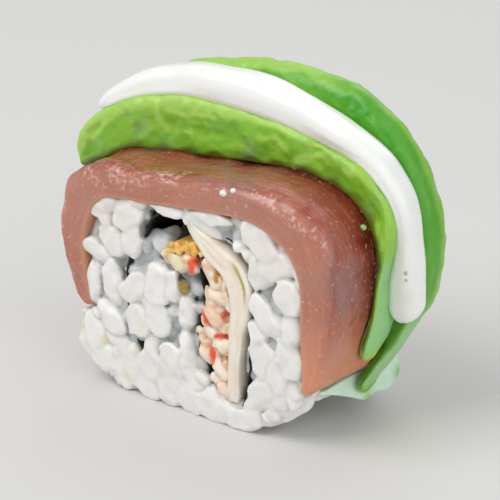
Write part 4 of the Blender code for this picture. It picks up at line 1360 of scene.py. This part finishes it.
def shredded_crab(tree, colours):
    """Shredded crab: ivory and moist, with dyed red and soaked amber streaks."""
    place = add_node(tree, "ShaderNodeTexCoord").outputs["Object"]
    cloud = add_node(tree, "ShaderNodeTexNoise", {"Vector": place, "Scale": 420.0, "Detail": 3.0})
    peach = add_node(tree, "ShaderNodeMath", {0: cloud, 1: "tone"}, operation="MULTIPLY")
    base = coloured(
        tree, colours.crab,
        (peach, 0.1, 0.5, 0.8, linear("#f3cfae")),          # flakes differ between ivory and peach
        ("cream", 0.7, linear("#f3e4bd")),                  # and turn cream beside the egg
        ("crease", 0.45, linear("#d09a68")),                # darker amber where the flakes meet
        ("amber", 1.0, colours.crab_amber),
        ("red", 1.0, colours.crab_red),
    )
    fibre = add_node(tree, "ShaderNodeTexNoise", {"Vector": place, "Scale": 1500.0, "Detail": 3.0})
    bump = add_node(tree, "ShaderNodeBump", {"Height": fibre, "Strength": 0.4, "Distance": 0.00015})
    return {
        "Base Color": base, "Normal": bump, "Roughness": 0.4,
        "Subsurface Weight": 0.4, "Subsurface Radius": (1.6, 1.0, 0.7), "Subsurface Scale": MM,
    }


def pressed_strip(tree, colours):
    """Pressed crab strip: smooth ivory, drawn lengthwise, with one thin olive line."""
    place = add_node(tree, "ShaderNodeTexCoord").outputs["Object"]
    cloud = add_node(tree, "ShaderNodeTexNoise", {"Vector": place, "Scale": 300.0, "Detail": 3.0})
    base = coloured(
        tree, colours.strip,
        (cloud, 0.4, 0.75, 0.5, linear("#ead6b8")),
        ("tone", 0.6, 0.0, 0.25, linear("#d6b690")),        # valleys between the pressed ridges
        ("line", 1.0, colours.strip_line),
    )
    bump = add_node(tree, "ShaderNodeBump", {"Height": cloud, "Strength": 0.2, "Distance": 0.0003})
    return {
        "Base Color": base, "Normal": bump, "Roughness": 0.36,
        "Subsurface Weight": 0.4, "Subsurface Radius": (1.6, 1.2, 0.9), "Subsurface Scale": MM,
    }


def crumbled_omelette(tree, colours):
    """Crumbled omelette: soft yellow crumbs, each of its own strength, orange between them."""
    base = coloured(
        tree, colours.egg,
        ("tone", 1.0, colours.egg_pale),
        ("crease", 0.4, linear("#d98f24")),
    )
    place = add_node(tree, "ShaderNodeTexCoord").outputs["Object"]
    grain = add_node(tree, "ShaderNodeTexNoise", {"Vector": place, "Scale": 1600.0, "Detail": 3.0})
    bump = add_node(tree, "ShaderNodeBump", {"Height": grain, "Strength": 0.5, "Distance": 0.0002})
    return {
        "Base Color": base, "Normal": bump, "Roughness": 0.5,
        "Subsurface Weight": 0.35, "Subsurface Radius": (1.5, 0.9, 0.4), "Subsurface Scale": MM,
    }


def toasted_sesame(tree, colours):
    """Toasted sesame: olive-brown with a dark tip."""
    place = add_node(tree, "ShaderNodeTexCoord").outputs["Object"]
    speckle = add_node(tree, "ShaderNodeTexNoise", {"Vector": place, "Scale": 2200.0, "Detail": 2.0})
    base = coloured(
        tree, colours.sesame,
        (speckle, 0.4, 0.65, 0.6, linear("#6a5526")),
        ("tip", 1.0, colours.sesame_tip),
    )
    return {"Base Color": base, "Roughness": 0.35}


def raw_tuna(tree, colours):
    """Raw tuna: translucent red-brown flesh with pale fibres, mauve mottling, a wet shine with painted
    glints, and painted shade beside the avocado.
    """
    place = add_node(tree, "ShaderNodeTexCoord").outputs["Object"]
    flat = add_node(tree, "ShaderNodeUVMap", uv_map="grain")
    aslant = {"Vector": flat, "Rotation": (0.0, 0.0, 0.16)}
    # Muscle fibres, streaks some 9 mm long and 1 mm wide, and threads 3 mm long and 0.3 mm wide
    drawn = add_node(tree, "ShaderNodeMapping", {**aslant, "Scale": (0.11, 0.95, 1.0)})
    fibre = add_node(tree, "ShaderNodeTexNoise",
                     {"Vector": drawn, "Scale": 1.0, "Detail": 4.0, "Roughness": 0.62, "Distortion": 0.5})
    thin = add_node(tree, "ShaderNodeMapping", {**aslant, "Scale": (0.30, 2.8, 1.0)})
    thread = add_node(tree, "ShaderNodeTexNoise",
                      {"Vector": thin, "Scale": 1.0, "Detail": 3.0, "Distortion": 0.4})
    cloud = add_node(tree, "ShaderNodeTexNoise",
                     {"Vector": place, "Scale": 130.0, "Detail": 4.0, "Roughness": 0.6})
    # Tiny specks, crowded where the surface is wettest: painted wet glints
    grain = add_node(tree, "ShaderNodeTexNoise", {"Vector": place, "Scale": 1400.0, "Detail": 3.0})
    wet = add_node(tree, "ShaderNodeMath", {0: "wet", 1: 0.16}, operation="MULTIPLY")
    speck = add_node(tree, "ShaderNodeMath", {0: grain, 1: wet}, operation="ADD")
    base = coloured(
        tree, colours.tuna,
        (fibre, 0.38, 0.66, 1.0, colours.tuna_pale),        # pale fibres
        (cloud, 0.49, 0.60, 0.75, colours.tuna_mauve),      # broad mauve clouds
        (cloud, 0.47, 0.34, 0.75, linear("#8e3a22")),       # and darker brown ones
        ("near_avocado", 0.9, colours.tuna_dark_and_shaded),           # darker flesh beside the avocado, partly painted shade of the slices
        ("touching", 0.7, linear("#33130a")),               # painted contact shadow, darkest where they touch
        ("cut", 0.55, colours.tuna_cut),                    # the knife cut is paler
        ("low", 0.85, linear("#e89c78")),                   # more orange towards the right foot
        ("by_rice", 0.7, colours.tuna_edge),                # amber edge along the rice
        (thread, 0.55, 0.78, 0.32, linear("#cf9f92")),      # pale threads between the fibres
        (speck, 0.60, 0.84, 0.75, linear("#dfc0b6")),       # painted wet glints
    )
    bump = add_node(tree, "ShaderNodeBump", {"Height": fibre, "Strength": 0.22, "Distance": 0.0005})
    bump = add_node(tree, "ShaderNodeBump",
                    {"Height": grain, "Strength": 0.5, "Distance": 0.00018, "Normal": bump})
    # Duller beside the avocado, whose green it would mirror
    shine = add_node(tree, "ShaderNodeMapRange", {"Value": "near_avocado", "To Min": 0.5, "To Max": 0.0})
    gloss = add_node(tree, "ShaderNodeMapRange",
                     {"Value": "near_avocado", "From Max": 0.7, "To Min": 0.4, "To Max": 0.08})
    return {
        "Base Color": base, "Normal": bump, "Roughness": 0.38, "Specular IOR Level": gloss,
        "Subsurface Weight": 0.25, "Subsurface Radius": (2.2, 0.7, 0.4), "Subsurface Scale": MM,
        "Coat Weight": shine, "Coat Roughness": 0.18,
    }


def ripe_avocado(tree, colours):
    """Avocado flesh: buttery yellow-green, greener on the back slice, with smears, painted highlights along
    the rims and painted shade in the fold.
    """
    place = add_node(tree, "ShaderNodeTexCoord").outputs["Object"]
    flat = add_node(tree, "ShaderNodeUVMap", uv_map="grain")
    # The flesh is that of the front slice up to y = 3 mm, and of the greener back slice from 6 mm on, whose
    # sides that face forward are deepest green, partly painted shade
    split = add_node(tree, "ShaderNodeSeparateXYZ", {"Vector": place})
    behind = add_node(tree, "ShaderNodeMapRange",
                      {"Value": split.outputs["Y"], "From Min": 0.003, "From Max": 0.006})
    facing = add_node(tree, "ShaderNodeMapRange", {"Value": "face", "To Min": 0.3})
    deep = add_node(tree, "ShaderNodeMath", {0: behind, 1: facing}, operation="MULTIPLY")
    mottled = add_node(tree, "ShaderNodeMapRange", {"Value": behind, "To Min": 0.45, "To Max": 0.15})
    # Streaks along the arc, 8 mm long and 2 mm wide
    drawn = add_node(tree, "ShaderNodeMapping", {"Vector": flat, "Scale": (0.12, 0.5, 1.0)})
    streak = add_node(tree, "ShaderNodeTexNoise",
                      {"Vector": drawn, "Scale": 1.0, "Detail": 5.0, "Distortion": 0.8})
    milk = add_node(tree, "ShaderNodeTexNoise", {"Vector": place, "Scale": 210.0, "Detail": 4.0})
    base = coloured(
        tree, colours.avocado,
        (deep, 1.0, colours.avocado_deep),
        (streak, 0.5, 0.68, mottled, linear("#a8d04a")),    # streaks of riper flesh
        (streak, 0.48, 0.34, mottled, linear("#56981c")),   # and of greener flesh
        (milk, 0.54, 0.68, mottled, linear("#93c07c")),     # milky wet patches
        ("rim", 0.8, colours.avocado_ridge_highlight),                  # painted highlight: light band along the ridge
        ("skin_side", 0.9, colours.avocado_skin_side),      # minty side that lay under the peel, paled partly by painted wet reflection
        ("contact", 0.9, colours.avocado_contact),          # darker olive-brown where it touches the tuna
        ("fold", 0.75, linear("#26690e")),                  # painted shade, dark between the two feet
        ("smear", 0.5, linear("#b8de68")),                  # creamy smears
    )
    grain = add_node(tree, "ShaderNodeTexNoise", {"Vector": place, "Scale": 900.0, "Detail": 4.0})
    bump = add_node(tree, "ShaderNodeBump", {"Height": grain, "Strength": 0.5, "Distance": 0.0003})
    return {
        "Base Color": base, "Normal": bump, "Roughness": 0.4, "Specular IOR Level": 0.35,
        "Subsurface Weight": 0.25, "Subsurface Radius": (0.9, 1.3, 0.3), "Subsurface Scale": MM,
        "Coat Weight": 0.25, "Coat Roughness": 0.2,
    }


def outermost_avocado(tree, colours):
    """Thin outermost flesh of the avocado: pale milky mint, bright green at its corners."""
    place = add_node(tree, "ShaderNodeTexCoord").outputs["Object"]
    cloud = add_node(tree, "ShaderNodeTexNoise", {"Vector": place, "Scale": 300.0, "Detail": 3.0})
    base = coloured(
        tree, colours.flap,
        (cloud, 0.45, 0.7, 0.5, linear("#bfe3c8")),
        ("green", 1.0, linear("#7dc04a")),
    )
    return {
        "Base Color": base, "Roughness": 0.35,
        "Subsurface Weight": 0.4, "Subsurface Radius": (0.9, 1.1, 0.9), "Subsurface Scale": MM,
        "Coat Weight": 0.4, "Coat Roughness": 0.15,
    }


def piped_mayonnaise(tree, colours):
    """Mayonnaise: warm white, very smooth and glossy, soft inside, with two specks."""
    base = coloured(tree, colours.mayonnaise, ("speck", 1.0, linear("#a9b58c")))
    return {
        "Base Color": base, "Roughness": 0.25,
        "Subsurface Weight": 0.4, "Subsurface Radius": (1.6, 1.6, 1.3), "Subsurface Scale": MM,
        "Coat Weight": 0.6, "Coat Roughness": 0.08,
    }


def studio_floor(tree, colours):
    """Plain matt studio floor."""
    return {"Base Color": colours.floor, "Roughness": 0.9}


# ---------------------------------------------------------------------------------------------------------
# Operators


class ROLL_OT_rice(bpy.types.Operator):
    """Build the rice: grains at both cuts and on the bare sides, over a lumpy core"""
    bl_idname = "roll.rice"
    bl_label = "Rice"
    bl_options = {"REGISTER", "UNDO"}

    def execute(self, context):
        sizes = context.scene.roll_sizes
        material = new_material("Cooked rice", cooked_rice, context.scene.roll_colours)
        for mesh in (front_rice(sizes), back_rice(sizes), side_rice(sizes), rice_core()):
            add_piece(mesh, material, "rice", "rice")
        return {"FINISHED"}


class ROLL_OT_nori(bpy.types.Operator):
    """Build the sheet of nori round the filling"""
    bl_idname = "roll.nori"
    bl_label = "Nori"
    bl_options = {"REGISTER", "UNDO"}

    def execute(self, context):
        material = new_material("Wet nori", wet_nori, context.scene.roll_colours)
        add_piece(nori_sheet(context.scene.roll_sizes), material, "nori", "nori")
        return {"FINISHED"}


class ROLL_OT_filling(bpy.types.Operator):
    """Build the filling: crab, pressed strip, egg and the sesame seed beside them"""
    bl_idname = "roll.filling"
    bl_label = "Filling"
    bl_options = {"REGISTER", "UNDO"}

    def execute(self, context):
        colours = context.scene.roll_colours
        crab = new_material("Shredded crab", shredded_crab, colours)
        strip = new_material("Pressed crab strip", pressed_strip, colours)
        egg = new_material("Crumbled omelette", crumbled_omelette, colours)
        sesame = new_material("Toasted sesame", toasted_sesame, colours)
        add_piece(crab_shreds(), crab, "crab", "crab_shreds")
        add_piece(crab_strip(), strip, "crab_strip", "crab_strip")
        add_piece(egg_crumbs(context.scene.roll_sizes), egg, "egg", "egg")
        add_piece(sesame_seed(), sesame, "nori")
        return {"FINISHED"}


class ROLL_OT_tuna(bpy.types.Operator):
    """Build the slice of tuna over the rice, and the crumbs that stick to it"""
    bl_idname = "roll.tuna"
    bl_label = "Tuna"
    bl_options = {"REGISTER", "UNDO"}

    def execute(self, context):
        colours = context.scene.roll_colours
        tuna = new_material("Raw tuna", raw_tuna, colours)
        rice = new_material("Cooked rice", cooked_rice, colours)
        avocado = new_material("Ripe avocado", ripe_avocado, colours)
        mesh = tuna_slice(context.scene.roll_sizes)
        add_piece(mesh, tuna, "tuna", "tuna")
        add_piece(crumbs("rice_crumbs", TUNA_CRUMBS, mesh), rice, "rice")
        add_piece(crumbs("avocado_crumbs", AVOCADO_CRUMBS, mesh), avocado, "avocado")
        return {"FINISHED"}


class ROLL_OT_avocado(bpy.types.Operator):
    """Build the two slices of avocado and the thin flap at their foot"""
    bl_idname = "roll.avocado"
    bl_label = "Avocado"
    bl_options = {"REGISTER", "UNDO"}

    def execute(self, context):
        colours = context.scene.roll_colours
        flesh = new_material("Ripe avocado", ripe_avocado, colours)
        outermost = new_material("Avocado skin side", outermost_avocado, colours)
        front = avocado_slice(
            "avocado_slice_front", (FRONT_SLICE_OVERHANG, FRONT_SLICE_FOOT, FRONT_SLICE_OUTER),
            (AVOCADO_FRONT_FACE, AVOCADO_MEETING), edge=1.2, seed=111, mint_top=29.0, rim_strength=1.0,
            fold_strength=0.0)
        back = avocado_slice(
            "avocado_slice_back", (BACK_SLICE_OVERHANG, BACK_SLICE_FOOT, BACK_SLICE_OUTER),
            (AVOCADO_MEETING + 0.1, AVOCADO_BACK_FACE), edge=2.7, seed=151, mint_top=19.0,
            rim_strength=0.3, fold_strength=1.0)
        add_piece(front, flesh, "avocado", "avocado_slice_front")
        add_piece(back, flesh, "avocado", "avocado_slice_back")
        add_piece(avocado_sliver(), outermost, "avocado_skin_side", "avocado_sliver")
        return {"FINISHED"}


class ROLL_OT_mayonnaise(bpy.types.Operator):
    """Build the piped line of mayonnaise on the ridge"""
    bl_idname = "roll.mayonnaise"
    bl_label = "Mayonnaise"
    bl_options = {"REGISTER", "UNDO"}

    def execute(self, context):
        material = new_material("Mayonnaise", piped_mayonnaise, context.scene.roll_colours)
        add_piece(mayonnaise_line(), material, "mayonnaise", "mayonnaise")
        return {"FINISHED"}


def facing_aim(name, data, aim, azimuth, elevation, distance):
    """A light or camera that faces the aim from two angles and a distance."""
    item = bpy.data.objects.new(name, data)
    flat = math.cos(elevation)
    away = Vector((math.sin(azimuth) * flat, -math.cos(azimuth) * flat, math.sin(elevation)))
    item.location = aim + away * distance
    item.rotation_euler = away.to_track_quat("Z", "Y").to_euler()
    bpy.context.scene.collection.objects.link(item)
    return item


class ROLL_OT_stage(bpy.types.Operator):
    """Build the plain floor, the soft light and the camera"""
    bl_idname = "roll.stage"
    bl_label = "Stage"
    bl_options = {"REGISTER", "UNDO"}

    def execute(self, context):
        scene = context.scene
        stage = scene.roll_stage
        mesh = bpy.data.meshes.new("floor")
        mesh.from_pydata([(-4, -4, 0), (4, -4, 0), (4, 4, 0), (-4, 4, 0)], [], [(0, 1, 2, 3)])
        mesh.materials.append(new_material("Studio floor", studio_floor, scene.roll_colours))
        floor = bpy.data.objects.new("floor", mesh)
        scene.collection.objects.link(floor)

        aim = Vector((stage.aim_x, 0.0, stage.aim_z))
        for name, azimuth, elevation, power, size in (
            ("key_light", -30.0, 52.0, stage.key, 0.55),
            ("fill_light", 75.0, 25.0, stage.fill, 0.8),
            ("back_light", 190.0, 45.0, stage.back, 0.7),
        ):
            data = bpy.data.lights.new(name, "AREA")
            data.energy = power
            data.size = size
            light = facing_aim(name, data, aim, math.radians(azimuth), math.radians(elevation), 0.8)

        world = bpy.data.worlds.new("studio")
        world.use_nodes = True
        world.node_tree.nodes.clear()
        sky = add_node(world.node_tree, "ShaderNodeBackground",
                       {"Color": linear("#f2f4f6"), "Strength": stage.sky})
        add_node(world.node_tree, "ShaderNodeOutputWorld", {"Surface": sky})
        scene.world = world
        scene.view_settings.view_transform = "Standard"

        data = bpy.data.cameras.new("camera")
        data.sensor_width = 36.0
        data.lens = stage.focal_length
        data.clip_start = 0.01
        scene.camera = facing_aim("camera", data, aim, stage.azimuth, stage.elevation, stage.distance)
        return {"FINISHED"}


OPERATORS = [
    ROLL_OT_rice, ROLL_OT_nori, ROLL_OT_filling, ROLL_OT_tuna, ROLL_OT_avocado, ROLL_OT_mayonnaise,
    ROLL_OT_stage,
]


class ROLL_PT_panel(bpy.types.Panel):
    """Sizes, colours and building steps of the roll"""
    bl_idname = "ROLL_PT_panel"
    bl_label = "Uramaki Roll"
    bl_space_type = "VIEW_3D"
    bl_region_type = "UI"
    bl_category = "Roll"

    def draw(self, context):
        layout = self.layout
        scene = context.scene
        for settings in (scene.roll_sizes, scene.roll_colours, scene.roll_stage):
            column = layout.column()
            for name in settings.bl_rna.properties.keys():
                if name not in {"rna_type", "name"}:
                    column.prop(settings, name)
        for operator in OPERATORS:
            layout.operator(operator.bl_idname)


CLASSES = [RollSizes, RollColours, RollStage, *OPERATORS, ROLL_PT_panel]


def register():
    """Registers the classes and hangs the settings on the scene."""
    for cls in CLASSES:
        bpy.utils.register_class(cls)
    bpy.types.Scene.roll_sizes = PointerProperty(type=RollSizes)
    bpy.types.Scene.roll_colours = PointerProperty(type=RollColours)
    bpy.types.Scene.roll_stage = PointerProperty(type=RollStage)


def unregister():
    """Takes the settings and the classes away again."""
    del bpy.types.Scene.roll_stage
    del bpy.types.Scene.roll_colours
    del bpy.types.Scene.roll_sizes
    for cls in reversed(CLASSES):
        bpy.utils.unregister_class(cls)


def main():
    """Builds the roll and its stage."""
    register()
    bpy.ops.roll.rice()
    bpy.ops.roll.nori()
    bpy.ops.roll.filling()
    bpy.ops.roll.tuna()
    bpy.ops.roll.avocado()
    bpy.ops.roll.mayonnaise()
    bpy.ops.roll.stage()


if __name__ == "__main__":
    main()
